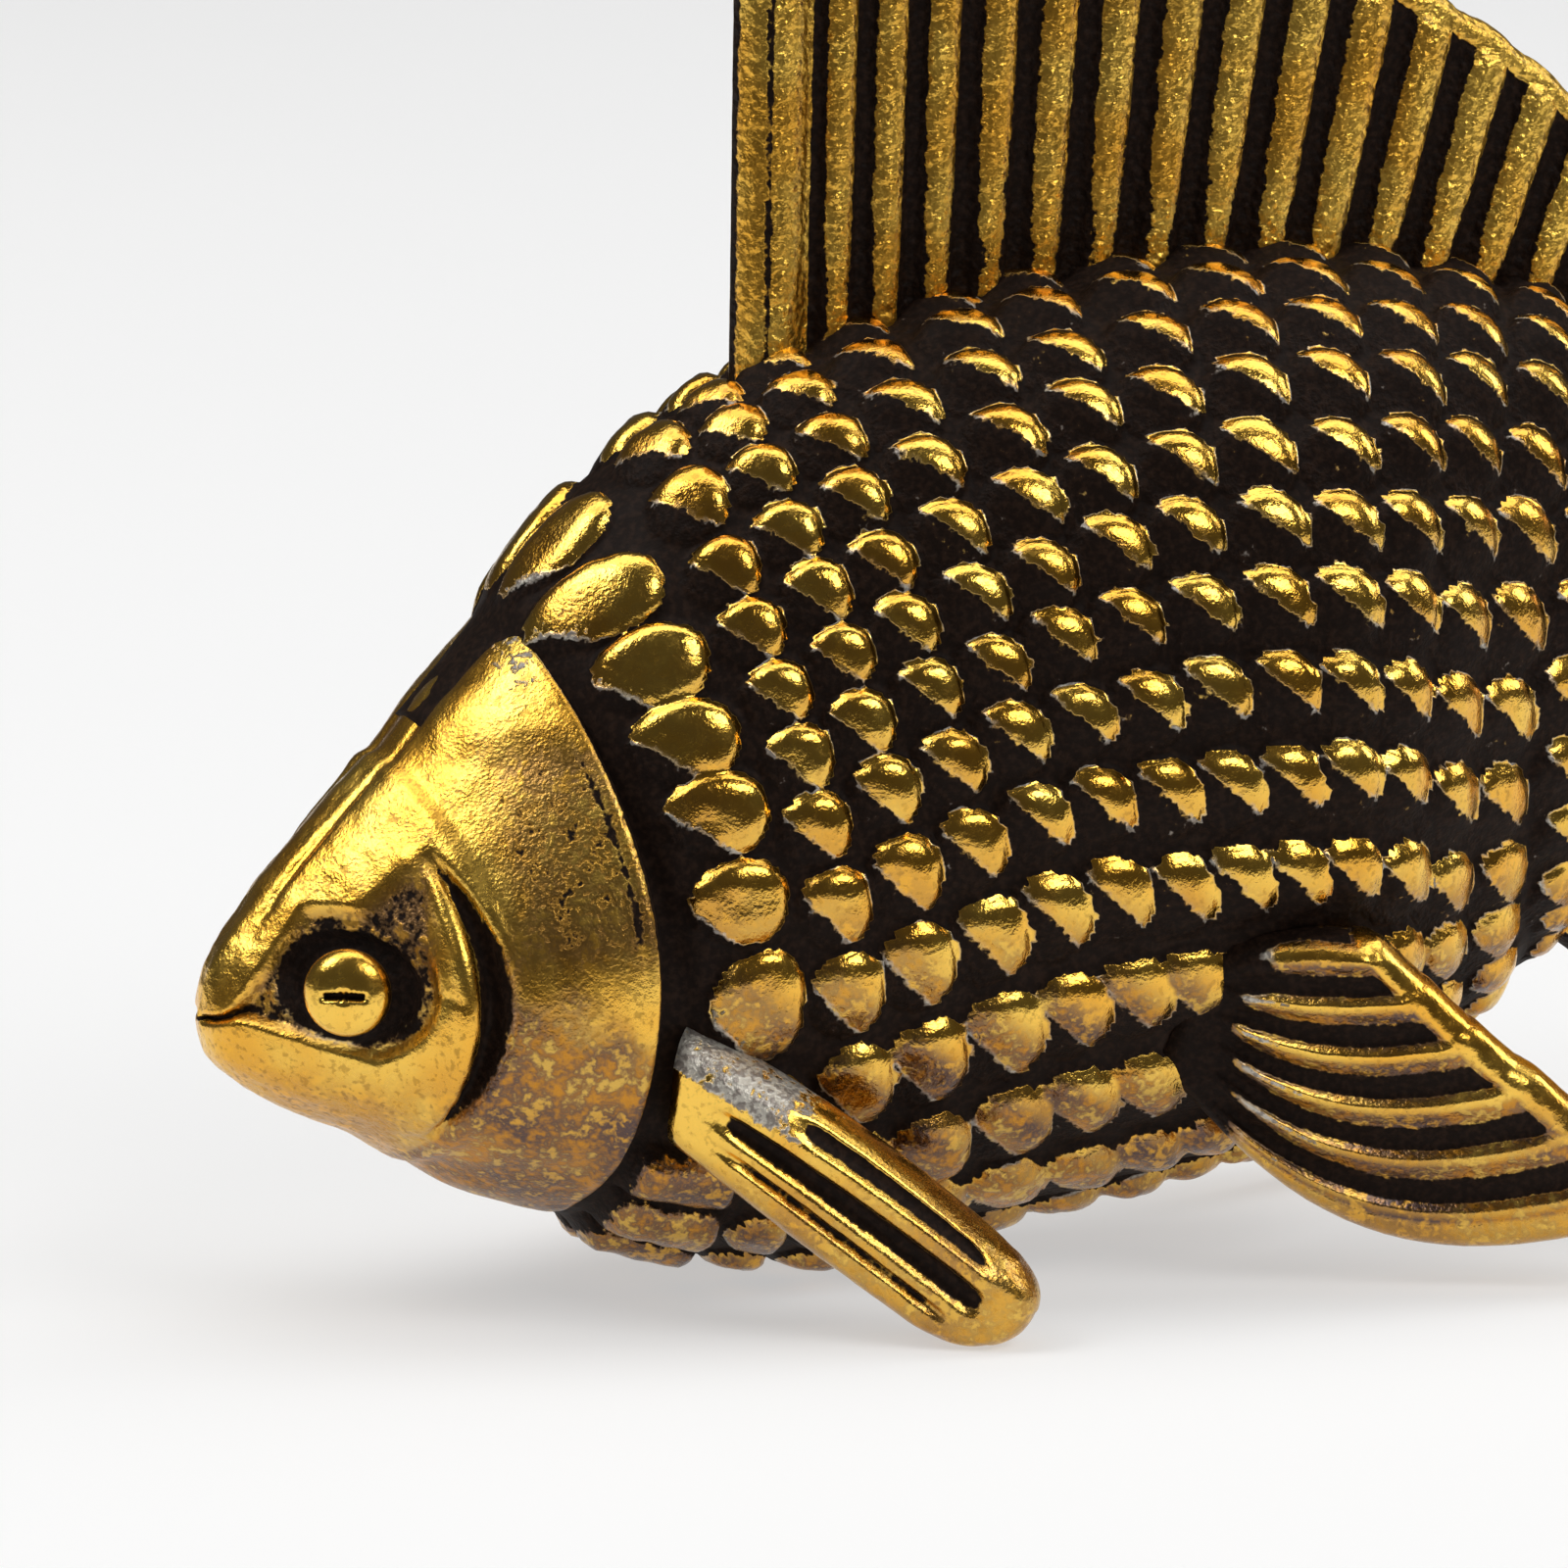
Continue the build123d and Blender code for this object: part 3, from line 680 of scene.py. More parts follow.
# %% The mouth, the crown and all the folds
mouth_slit_height = 7.12
mouth_slope = 0.5
mouth_slit_width = 0.09
mouth_slit_depth = 0.2
mouth_slit_wear = 0.8
mouth_corner = (0.35, 0.7)
crown_start_z = 9
crown_ridge_height = 0.13
crown_ridge_width = 0.42
crown_groove_depth = 0.07
crown_groove_y = 0.78
crown_groove_width = 0.14
lump_height = 0.03
lump_size = 0.8
grain_height = 0.012
grain_size = 0.25
# Lumps of the ragged edge of the painted shade low on the gill cover.
tarnish_and_shade_lump_size = 0.9
calm_share = 0.8


def front_fold(x, y, z):
    """Inset and wear of the mouth's slit and of the ridge along the crown."""
    slit = bell(z - mouth_slit_height - mouth_slope * x, mouth_slit_width) * (1 - ease(*mouth_corner, x))
    crown = ease(0.6, 2.2, x) if z > crown_start_z else 0
    inset = mouth_slit_depth * slit - crown_ridge_height * bell(y, crown_ridge_width) * crown
    inset += crown_groove_depth * bell(abs(y) - crown_groove_y, crown_groove_width) * crown
    return inset, -mouth_slit_wear * slit, 0.0, 0.0


def head_fold(x, y, z):
    """How far the folds draw the skin in, and its wear, silver with a painted sheen, and tarnish with
    painted shade.
    """
    spot = Vector((x, z))
    lump = grain((x, y, z), tarnish_and_shade_lump_size, 1.7)
    folds = (eye_fold(spot), cheek_fold(spot), gill_fold(spot, lump), front_fold(x, y, z))
    inset, worn, silver_and_glint, tarnish_and_shade = (sum(parts) for parts in zip(*folds))
    calm = ease(5.4, 6.2, x) * ease(6.5, 8.5, z) * (1 - ease(12, 13.5, z))
    lumps = lump_height * grain((x, y, z), lump_size) + grain_height * grain((x, y, z), grain_size, 3.1)
    return inset + lumps * (1 - calm_share * calm), clamp(1 + worn), clamp(silver_and_glint), clamp(tarnish_and_shade)


crown = head_point(2.5, 0.0)
print("the crown's ridge stands", round(-head_fold(*crown)[0], 3), "mm proud")

# %% [markdown]
# The skin runs in stations from the snout to the round seam. Behind the seam
# it turns in and closes, where the trunk hides it.

# %% The skin of the head
HEAD_ROWS = 130
REAR_ROWS = 6
HEAD_STEPS = 300
SNOUT_CALM = 0.35
rear_start = HEAD_ROWS / (HEAD_ROWS + REAR_ROWS)


def head_spot(u, v):
    """Point, wear, silver with a painted sheen, and tarnish with painted shade of the head's skin, closed
    behind along the seam.
    """
    u = u % 1
    forward = min(v / rear_start, 1.0)
    station = last_station(round(u, 6)) * forward
    inset, worn, silver_and_glint, tarnish_and_shade = head_fold(*head_point(station, u))
    inset *= ease(0.0, SNOUT_CALM, station)
    point = Vector(head_point(station, u, inset))
    if v > rear_start:
        inward = ((v - rear_start) / (1 - rear_start)) ** 2
        z = point.z + (seam_height - point.z) * inward
        edge = math.hypot(point.x - seam_hub, point.z - seam_height)
        x = seam_hub + math.sqrt(edge ** 2 - (z - seam_height) ** 2)
        point = Vector((x, point.y * (1 - inward), z))
        worn = 0.0
    return point, worn, silver_and_glint, tarnish_and_shade


head = wrap("head_skin", HEAD_STEPS, HEAD_ROWS + REAR_ROWS, head_spot)

# %% [markdown]
# Each eye is a bead with a short slit for its pupil. A sphere is the natural
# start: it is pressed flat to the bead's height, and the points over the slit
# are pushed in.

# %% The eyes
eye_radius = 1.0
eye_rise = 0.62
eye_sink = 0.3
eye_spread = 3.15
eye_turn = math.radians(28)
slit_half_length = 0.52
slit_half_width = 0.11
slit_depth = 0.22
slit_bow = 0.12
bead_fullness = 0.8
bead_rows = 36


def make_eye(name, side):
    """Bead with a slit, seated in the moat of one cheek."""
    bm = bmesh.new()
    bmesh.ops.create_uvsphere(bm, u_segments=2 * bead_rows, v_segments=bead_rows, radius=1.0)
    worn = bm.verts.layers.float.new(LAYERS[0])
    out = Vector((-math.sin(eye_turn), side * math.cos(eye_turn), 0))
    level = Vector((0, 0, 1)).cross(out)
    centre = Vector((eye_spot.x, side * eye_spread, eye_spot.y))
    for vert in bm.verts:
        wide, high, proud = vert.co
        slit = 1 - ease(slit_half_width * 0.4, slit_half_width, abs(high + slit_bow * wide * wide))
        slit *= 1 - ease(slit_half_length * 0.8, slit_half_length, abs(wide))
        slit = slit if proud > 0 else 0
        height = eye_rise * proud ** bead_fullness if proud > 0 else eye_sink * proud
        point = centre + level * wide * eye_radius + Vector((0, 0, high * eye_radius))
        point += out * (height - slit_depth * slit)
        vert[worn] = clamp(1 - 1.2 * slit) * ease(-0.1, 0.25, proud)
        vert.co = in_frame(*point)
    return finish_mesh(name, bm)


eyes = [make_eye("eye_left_bead", -1), make_eye("eye_right_bead", 1)]

# %% [markdown]
# A fin is a thin plate with a round ridge over every ray and dark grooves
# between them. It could be extruded from its outline and carved, but a ray
# runs from the root to the rim, so the grid runs the same way: across the
# rays one way, and up one face and down the other the other way.

# %% A cast fin
RIDGE_HEIGHT = 0.28
RIM_BEAD = (0.75, 0.5)
BEAD_SHARE = 0.4
RIDGE_END = (0.86, 0.97)
RIM_SCALLOP = 0.012
ROOT_FADE = (0.1, 0.55)
SILVER_FADE = (0.25, 0.6)
FLUTE_PLACE = 0.36
FLUTE_WIDTH = 0.08
FLUTE_DEPTH = 0.25
FLUTE_WEAR = 0.62
FIN_GRAIN = 0.03


def ray_ridge(part, share, ray):
    """Height of the ridge over one ray, at a part of it from 0 to 1."""
    return clamp((math.sin(math.pi * part) - 0.45) / 0.5) ** 0.6


def outline_point(points, u):
    """Point of an outline in the fin's own plane."""
    return Vector([along([point[axis] for point in points], u) for axis in range(2)])


def cast_fin(name, plane, root, rim, thickness, rays, bows=(0, 0), lead=0.0, ridge=ray_ridge,
             ridge_height=RIDGE_HEIGHT, per_ray=10, face_rows=26, drop_to=None, root_pale=0.0, spine=1.0,
             root_shade=0.0, slope=0.0):
    """Fin in a plane, given as its origin and two directions.

    Rays run from root to rim and may bow. The first can be a spine: some rays
    wide, with a leading thickness and a flute. root_pale is the share of the
    root that is silvery, root_shade how much painted shade, as patina, darkens
    the root, and slope how far the wear and painted shade, as tarnish, follow
    the ridges' flanks; the fin also darkens with painted shade towards the floor.
    """
    origin, x_way, y_way = plane
    out = x_way.cross(y_way)
    root_span, rim_span = [(Vector(points[-1]) - Vector(points[0])).length for points in (root, rim)]

    def spot(u, v):
        face = -1 if v < 0.5 else 1
        share = math.sin(math.pi / 2 * (1 - abs(2 * v - 1)))
        place = u * (rays - 1 + spine)
        ray = min(int(place - spine) + 1, rays - 1) if place > spine else 0
        part = place - spine + 1 - ray if ray else place / spine
        start, end = outline_point(root, u), outline_point(rim, u)
        high = ridge(part, share, ray)
        end = start + (end - start) * (1 + RIM_SCALLOP * (high - 0.5 + chance(ray, 3.3) - 0.5))
        length = (end - start).length
        bend = (bows[0] * (1 - u) + bows[1] * u) * math.sin(math.pi * share)
        flat = start + (end - start) * share + Vector((0, bend))
        bead = ease(*RIM_BEAD, (1 - share) * length)
        half = thickness / 2 + ridge_height * max(high * (1 - ease(*RIDGE_END, share)), BEAD_SHARE * bead)
        crest = max(high, bead)
        # Painted shade: the root keeps patina, darker at the first rays where slope is set.
        shade = root_shade * (1 + 2 * slope * (1 - u) ** 4)
        worn = crest ** (1 - 0.5 * slope) - shade * (1 - ease(*ROOT_FADE, share + 0.2 * chance(ray, 5.1)))
        if lead and ray == 0:
            flute = bell(part - FLUTE_PLACE, FLUTE_WIDTH)
            half = max(half, lead / 2 * math.sin(math.pi * part) ** 0.4 - FLUTE_DEPTH * flute)
            crest = worn = max(worn, math.sin(math.pi * part) ** 0.2) - FLUTE_WEAR * flute
        span = root_span + (rim_span - root_span) * share
        for gap in (u * span, (1 - u) * span, (1 - share) * length):
            near = 1 - min(gap / (thickness / 2), 1)
            half *= math.sqrt(1 - near * near)
        point = origin + x_way * flat.x + y_way * flat.y + out * half * face
        point += out * grain(point, 0.4) * FIN_GRAIN
        silver_and_glint = (1 - ease(*SILVER_FADE, share)) * ease(root_pale, root_pale - 0.2, u) * ease(0.7, 1.0, crest)
        # Painted shade, as tarnish: the fin darkens towards the floor and, by slope, off the crests on the
        # ridges' flanks.
        return point, clamp(worn), silver_and_glint, clamp(0.6 * ease(6, 2, point.z) + slope * ease(0.99, 0.7, crest))

    piece = wrap(name, rays * per_ray, 2 * face_rows, spot)
    if drop_to:
        lowest = min(vert.co.z for vert in piece.data.vertices)
        piece.data.transform(Matrix.Translation((0, 0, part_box(drop_to)[0].z - lowest)))
    return piece


SIDE_VIEW = (Vector((0, 0, 0)), Vector((1, 0, 0)), Vector((0, 0, 1)))
print("a ray's ridge stands", RIDGE_HEIGHT, "mm over the plate")

# %% [markdown]
# The three fins of the middle plane: the tall back fin with its stout first
# spine, the small fin under the stem, and the forked tail. Their roots lie in
# the slots of the solid, so they start from the same lattice places.

# %% Back fin, lower fin and tail
dorsal_height = 12.4
dorsal_rake = 2.0
dorsal_thickness = 0.9
dorsal_spine_thickness = 1.5
dorsal_spine_width = 1.5
dorsal_root_depth = 1.5
dorsal_rays = 17
dorsal_height_shares = (1.0, 0.95, 0.64, 0.39, 0.15)
dorsal_rake_shares = (0.1, 0.3, 0.65, 1.0, 1.0)
anal_rake = 4.7
anal_drop = 3.6
anal_thickness = 1.0
anal_root_depth = 1.2
anal_root_lead = 0.6
anal_rays = 5
anal_rake_shares = (1.0, 0.94, 0.57)
anal_drop_shares = (0.75, 1.0, 1.0)
tail_length = 12.4
tail_depth = 28.0
tail_thickness = 1.1
tail_root_depth = 1.6
tail_rays = 14
tail_x_shares = (0.83, 0.98, 0.8, 0.63, 0.77, 1.0, 0.9)
tail_z_shares = (1.0, 0.84, 0.66, 0.52, 0.36, 0.16, 0.0)
tail_root_shares = (0.72, 0.28)


def edge_spots(first, last, share, steps):
    """Points along the back (share 0) or the belly (share 1) of the trunk."""
    return [trunk_point(first + (last - first) * step / (steps - 1), share) for step in range(steps)]


back_spots = edge_spots(0.28, 0.88, 0, len(dorsal_height_shares))
dorsal_root = [(x, z - dorsal_root_depth) for x, y, z in back_spots]
dorsal_rim = [
    (x + dorsal_rake * rake, z + dorsal_height * height)
    for (x, y, z), rake, height in zip(back_spots, dorsal_rake_shares, dorsal_height_shares)
]
dorsal = cast_fin("back_fin", SIDE_VIEW, dorsal_root, dorsal_rim, dorsal_thickness, dorsal_rays,
                  lead=dorsal_spine_thickness, per_ray=13, face_rows=60, spine=dorsal_spine_width,
                  root_shade=0.4)

belly_spots = edge_spots(0.86, 0.98, 1, len(anal_drop_shares))
anal_root = [(x - anal_root_lead, z + anal_root_depth) for x, y, z in belly_spots]
anal_rim = [
    (x + anal_rake * rake, z - anal_drop * drop)
    for (x, y, z), rake, drop in zip(belly_spots, anal_rake_shares, anal_drop_shares)
]
anal = cast_fin("lower_fin", SIDE_VIEW, anal_root, anal_rim, anal_thickness, anal_rays, per_ray=12)

stem_top, stem_low = trunk_point(1, 0), trunk_point(1, 1)
tail_root = [
    (stem_low[0] + (stem_top[0] - stem_low[0]) * share - tail_root_depth,
     stem_low[2] + (stem_top[2] - stem_low[2]) * share)
    for share in tail_root_shares
]
tail_rim = [(stem_top[0] + tail_length * x, tail_depth * z) for x, z in zip(tail_x_shares, tail_z_shares)]
tail = cast_fin("forked_tail", SIDE_VIEW, tail_root, tail_rim, tail_thickness, tail_rays, per_ray=12,
                face_rows=36, drop_to="tail_fin")

# %% [markdown]
# The paired fins leave the flank at an angle. A heading, a dive and a roll
# give the plane of each left one, and the right one is the same with Y
# turned round. The front pair are stout paddles with two deep slots, and the
# fish stands on their tips. The rear pair are fans of bent rays.

# %% The plane of a paired fin
def flank_plane(spot, heading, dive, roll, side):
    """Origin and two directions of a paired fin's plane."""
    turn, tip, lean = math.radians(heading), math.radians(dive), math.radians(roll)
    x_way = Vector((math.cos(tip) * math.cos(turn), -math.cos(tip) * math.sin(turn), -math.sin(tip)))
    upright = (Vector((0, 0, 1)) + x_way * math.sin(tip)).normalized()
    sideways = upright.cross(x_way)
    if sideways.y > 0:
        sideways = -sideways
    y_way = upright * math.cos(lean) + sideways * math.sin(lean)
    flip = Vector((1, -side, 1))
    return [Vector(spot) * flip, x_way * flip, y_way * flip]


print("a level fin points to", flank_plane((0, 0, 0), 0, 0, 0, -1)[1][:])

# %% [markdown]
# Their ridges aren't even, so each kind has its own formula: the paddle's
# slots start one after the other, and the fan's rays are crested along their
# upper side, where the light catches them.

# %% Ridges of the paddles and the fans
paddle_rays = 3
paddle_slots = ((0.13, 0.055, 0.3), (0.42, 0.07, 0.1))
paddle_slot_end = (0.84, 0.92)
paddle_crease_place = 0.64
paddle_crease_share = 0.6
fan_rays = 6


def paddle_ridge(part, share, ray):
    """Stout ridges and a lower rim, parted by two slots and a crease."""
    place = (ray + part) / paddle_rays
    low = 0.0
    for middle, half, first in paddle_slots:
        length = ease(first, first + 0.1, share) * (1 - ease(*paddle_slot_end, share))
        low = max(low, length * (1 - ease(0.3 * half, 1.7 * half, abs(place - middle))))
    crease = 1 - ease(0.005, 0.06, abs(place - paddle_crease_place))
    crease *= ease(0.12, 0.25, share) * (1 - ease(0.78, 0.88, share))
    return 1 - max(low, paddle_crease_share * crease)


def fan_ridge(part, share, ray):
    """Rays crested along their upper side, with a stout lower rim."""
    crest = ease(0.02, 0.14, part) * (1 - ease(0.14, 0.84, part))
    rim = ease(0.3, 0.4, part) if ray == fan_rays - 1 else 0
    return max(crest, rim) * ease(0.12, 0.2, share)


print("paddle slots", len(paddle_slots), "fan rays", fan_rays)

# %% [markdown]
# One loop makes both sides, so the left and the right fins can't differ. The
# solids say how low each paddle's tip has to reach.

# %% The four paired fins
paddle_length = 9.2
paddle_width = 3.4
paddle_thickness = 1.5
paddle_bows = (0.306, -0.1)
paddle_root_shares = ((-0.1, 0.34), (0.05, -0.38))
paddle_rim_shares = ((0.88, 0.44), (0.98, 0.3), (1.0, 0.04), (0.95, -0.19), (0.86, -0.34))
paddle_angles = (27, 37, 12)
paddle_inset = 0.75
fan_length = 10.0
fan_width = 4.9
fan_thickness = 1.2
fan_bows = (0.29, -2.74)
fan_root_shares = ((-0.24, 0.42), (-0.27, -0.22))
fan_rim_shares = ((0.12, 0.71), (0.39, 0.42), (0.7, 0.12), (1.0, -0.22))
fan_angles = (18, 16, 19)


def scaled(shares, length, width):
    """Outline in millimetres from shares of a fin's length and width."""
    return [(length * across, width * up) for across, up in shares]


paddle_root = scaled(paddle_root_shares, paddle_length, paddle_width)
paddle_rim = scaled(paddle_rim_shares, paddle_length, paddle_width)
fan_root = scaled(fan_root_shares, fan_length, fan_width)
fan_rim = scaled(fan_rim_shares, fan_length, fan_width)

paired = {}
for side, word in ((-1, "left"), (1, "right")):
    plane = flank_plane(trunk_point(0.07, 0.72, paddle_inset), *paddle_angles, side)
    node = f"pectoral_fin_{word}"
    paired[node] = cast_fin(f"paddle_{word}", plane, paddle_root, paddle_rim, paddle_thickness, paddle_rays,
                            paddle_bows, ridge=paddle_ridge, ridge_height=0.3, per_ray=24, face_rows=40,
                            drop_to=node, root_pale=0.4)
    plane = flank_plane(trunk_point(0.55, 0.8), *fan_angles, side)
    node = f"pelvic_fin_{word}"
    paired[node] = cast_fin(f"fan_{word}", plane, fan_root, fan_rim, fan_thickness, fan_rays, fan_bows,
                            ridge=fan_ridge, per_ray=18, face_rows=36, root_pale=1.0, root_shade=0.5,
                            slope=1.0)

# %% [markdown]
# Shader maths reads best as sums, so a small class wraps one socket and turns
# Python's operators into Math nodes. One method makes any other node.

# %% Sockets as numbers
class Value:
    """One socket of a material, which can be added, multiplied and mixed."""

    def __init__(self, tree, socket=None):
        self.tree = tree
        self.socket = socket

    def node(self, kind, settings=None, sockets=None, output=0):
        """New node of a kind: its settings, then its sockets, then one output."""
        made = self.tree.nodes.new(kind)
        for name, setting in (settings or {}).items():
            setattr(made, name, setting)
        for name, given in (sockets or {}).items():
            if isinstance(given, Value):
                self.tree.links.new(given.socket, made.inputs[name])
            else:
                made.inputs[name].default_value = given
        return Value(self.tree, made.outputs[output] if made.outputs else None)

    def math(self, operation, first, second):
        return self.node("ShaderNodeMath", {"operation": operation}, {0: first, 1: second})

    def __add__(self, other):
        return self.math("ADD", self, other)

    def __sub__(self, other):
        return self.math("SUBTRACT", self, other)

    def __rsub__(self, other):
        return self.math("SUBTRACT", other, self)

    def __mul__(self, other):
        return self.math("MULTIPLY", self, other)

    __radd__ = __add__
    __rmul__ = __mul__

    def between(self, low, high):
        """0 below low, 1 above high, and smooth between them."""
        settings = {"interpolation_type": "SMOOTHSTEP"}
        return self.node("ShaderNodeMapRange", settings, {"Value": self, "From Min": low, "From Max": high})

    def blend(self, first, second):
        """Colour that goes from the first to the second as this goes to 1."""
        settings = {"data_type": "RGBA"}
        return self.node("ShaderNodeMix", settings, {0: self, 6: first, 7: second}, output=2)

    def lumps(self, size_mm, detail=2.0, roughness=0.5):
        """Noise with lumps of a size in mm, on the piece's own coordinates."""
        sockets = {"Vector": self, "Scale": 1 / (size_mm * MM), "Detail": detail, "Roughness": roughness}
        return self.node("ShaderNodeTexNoise", {}, sockets)


# %% [markdown]
# Antiqued brass is two surfaces in one. The patina is a dull brown-black
# oxide, not metal. The rubbed metal is golden, mirror-like but grainy, redder
# or greyer in patches, which are partly tarnish and partly painted shade, and
# silvery in places, which are partly rubbed and partly painted glints. It could
# be painted on an image, but the worn number of each point, made ragged with
# noise, chooses between the two as well, and the dark then follows the recesses
# on every side.

# %% The colours and lumps of antiqued brass
GOLD = (0.94, 0.59, 0.1, 1)
AMBER = (0.86, 0.44, 0.05, 1)
STAIN = (0.22, 0.12, 0.02, 1)
# The silvery colour also paints glints and pale reflections, and the red and grey tarnish colours also
# paint shade.
SILVER_AND_GLINT = (0.64, 0.6, 0.52, 1)
RED_TARNISH_AND_SHADE = (0.56, 0.25, 0.03, 1)
GREY_TARNISH_AND_SHADE = (0.11, 0.072, 0.066, 1)
PATINA = (0.01, 0.005, 0.003, 1)
PATINA_BROWN = (0.024, 0.012, 0.007, 1)
FINE_MM, MIDDLE_MM, BROAD_MM = 0.16, 0.5, 2.2
PIT_MM = 0.08
SAND_GRAIN_MM = 0.2
PATINA_ROUGH = 0.6
BUMP_MM = 0.03


def brass_colour(bare, border, silver_and_glint, tarnish_and_shade, lumps, stain):
    """Colour of the rubbed metal and the patina, where it is tarnished and darkened by painted shade, and
    where it is silvery with painted glints, or speckled.
    """
    fine, middle, broad = lumps
    metal = broad.between(0.35, 0.65).blend(GOLD, AMBER)
    specks = 1 - fine.between(0.34, 0.47)
    metal = (specks * stain).blend(metal, STAIN)
    grey = (middle * 0.5 + broad * 0.4 + fine * 0.4).between(0.5, 0.72)
    # Painted shade and tarnish: the metal turns red-brown and grey where the third number is high, broken
    # by gold clusters.
    tarnish_and_shade_film = tarnish_and_shade * (1 - (fine * 0.4 + middle * 0.6).between(0.5, 0.62) * 0.7)
    metal = tarnish_and_shade_film.blend(metal, grey.blend(RED_TARNISH_AND_SHADE, GREY_TARNISH_AND_SHADE))
    # Painted glints and silver: the border of the rubbed metal turns silvery where the second number is
    # high, and so do noisy patches.
    silver_and_glint_mix = border * silver_and_glint + (middle * 0.5 + fine * 0.5 + silver_and_glint * 0.48).between(0.84, 0.94)
    silver_and_glint_mix = silver_and_glint_mix.node("ShaderNodeClamp", {}, {"Value": silver_and_glint_mix})
    metal = silver_and_glint_mix.blend(metal, (fine.between(0.46, 0.6) * 0.6).blend(SILVER_AND_GLINT, GREY_TARNISH_AND_SHADE))
    return bare.blend(fine.between(0.4, 0.7).blend(PATINA, PATINA_BROWN), metal), silver_and_glint_mix, specks


print("noise lumps in mm", FINE_MM, MIDDLE_MM, BROAD_MM)

# %% [markdown]
# The colours meet the roughness and the relief in one Principled shader. The
# relief is only the finest grain: everything larger is in the mesh.

# %% Antiqued brass
def antique_brass(name, ragged=0.5, stain=0.3, shine=0.2, pits=0.4, sand=0.0):
    """Brass under patina, with its own ragged edges, stains, pits and sand marks."""
    material = bpy.data.materials.new(name)
    material.use_nodes = True
    tree = material.node_tree
    tree.nodes.clear()
    value = Value(tree)
    place = value.node("ShaderNodeTexCoord", output="Object")
    worn, silver_and_glint, tarnish_and_shade = [
        value.node("ShaderNodeAttribute", {"attribute_name": word}, output="Fac") for word in LAYERS
    ]
    fine, middle, broad = place.lumps(FINE_MM, 3), place.lumps(MIDDLE_MM, 3), place.lumps(BROAD_MM, 2)
    edge = worn + (fine - 0.5) * ragged + (middle - 0.5) * ragged
    bare = edge.between(0.44, 0.56)
    border = 1 - edge.between(0.56, 0.75)
    colour, silver_and_glint_mix, specks = brass_colour(bare, border, silver_and_glint, tarnish_and_shade, (fine, middle, broad), stain)
    tone = shine - PATINA_ROUGH + specks * 0.1 + tarnish_and_shade * 0.12 + silver_and_glint_mix * 0.2
    relief = fine * (0.4 + tarnish_and_shade * 1.6 + silver_and_glint_mix * 3.0) + middle * 0.5 + bare * 0.8
    relief = relief + place.lumps(PIT_MM, 2) * pits
    if sand:
        grains = {"Vector": place, "Scale": 1 / (SAND_GRAIN_MM * MM)}
        relief = relief - place.node("ShaderNodeTexVoronoi", {"feature": "SMOOTH_F1"}, grains) * sand
    bump = {"Strength": 0.55, "Distance": BUMP_MM * MM, "Height": relief}
    sockets = {
        "Base Color": colour,
        "Metallic": bare * (1 - silver_and_glint_mix * 0.5),
        "Roughness": bare * tone + PATINA_ROUGH + (middle - 0.5) * 0.2,
        "Specular IOR Level": 0.1,
        "Coat Weight": bare * 0.15,
        "Coat Roughness": 0.08,
        "Normal": value.node("ShaderNodeBump", {}, bump),
    }
    shader = value.node("ShaderNodeBsdfPrincipled", {}, sockets)
    value.node("ShaderNodeOutputMaterial", {}, {"Surface": shader})
    print(name, len(tree.nodes), "nodes")
    return material


# %% [markdown]
# The castings were rubbed by different hands: the scales are the smoothest,
# the head is stained and pitted, and the ridged fins keep the grain of the
# sand mould. So one recipe serves all of them, with its own numbers for each.

# %% Dress every casting
scale_brass = antique_brass("scale_brass", ragged=0.6, shine=0.14)
head_brass = antique_brass("head_brass", stain=0.45, shine=0.25, pits=0.6)
eye_brass = antique_brass("eye_brass", ragged=0.2, pits=0.2)
fin_brass = antique_brass("fin_brass", ragged=0.55, shine=0.33, pits=1.6, sand=5.0)
paddle_brass = antique_brass("paddle_brass", ragged=0.35, shine=0.18, pits=0.3)

dressed = [
    (trunk, "trunk", scale_brass),
    (head, "head", head_brass),
    (eyes[0], "eye_left", eye_brass),
    (eyes[1], "eye_right", eye_brass),
    (dorsal, "dorsal_fin", fin_brass),
    (anal, "anal_fin", fin_brass),
    (tail, "tail_fin", fin_brass),
]
dressed += [(piece, node, paddle_brass) for node, piece in paired.items()]
for piece, node, material in dressed:
    piece.data.materials.append(material)
    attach(piece, "root")
    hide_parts(node)
print(len(dressed), "pieces dressed")

# %% [markdown]
# The photo shows the fish on plain white. A card of pale paper, which glows a
# little for the camera and for what mirrors it, gives that ground and keeps
# the shadow. It ends close in front of the fish, because the flat parts of
# the metal mirror something dark there.

# %% The paper card under the fish
CARD_FRONT = 0.045
CARD_SIDE = 0.1
CARD_SIZE = 1.0
CARD_TURN = math.radians(-20)
PAPER_TONES = ((0.93, 0.93, 0.93, 1), (0.95, 0.95, 0.95, 1))
PAPER_ROUGH = 0.9
PAPER_GLOW = 0.5
PAPER_LUMPS_MM = 40

card = bmesh.new()
bmesh.ops.create_grid(card, x_segments=8, y_segments=8, size=CARD_SIZE / 2)
bmesh.ops.translate(card, verts=card.verts, vec=(CARD_SIDE, CARD_SIZE / 2 - CARD_FRONT, 0))
bmesh.ops.rotate(card, verts=card.verts, matrix=Matrix.Rotation(CARD_TURN, 3, "Z"))
floor = mesh_object("pale_floor", card)

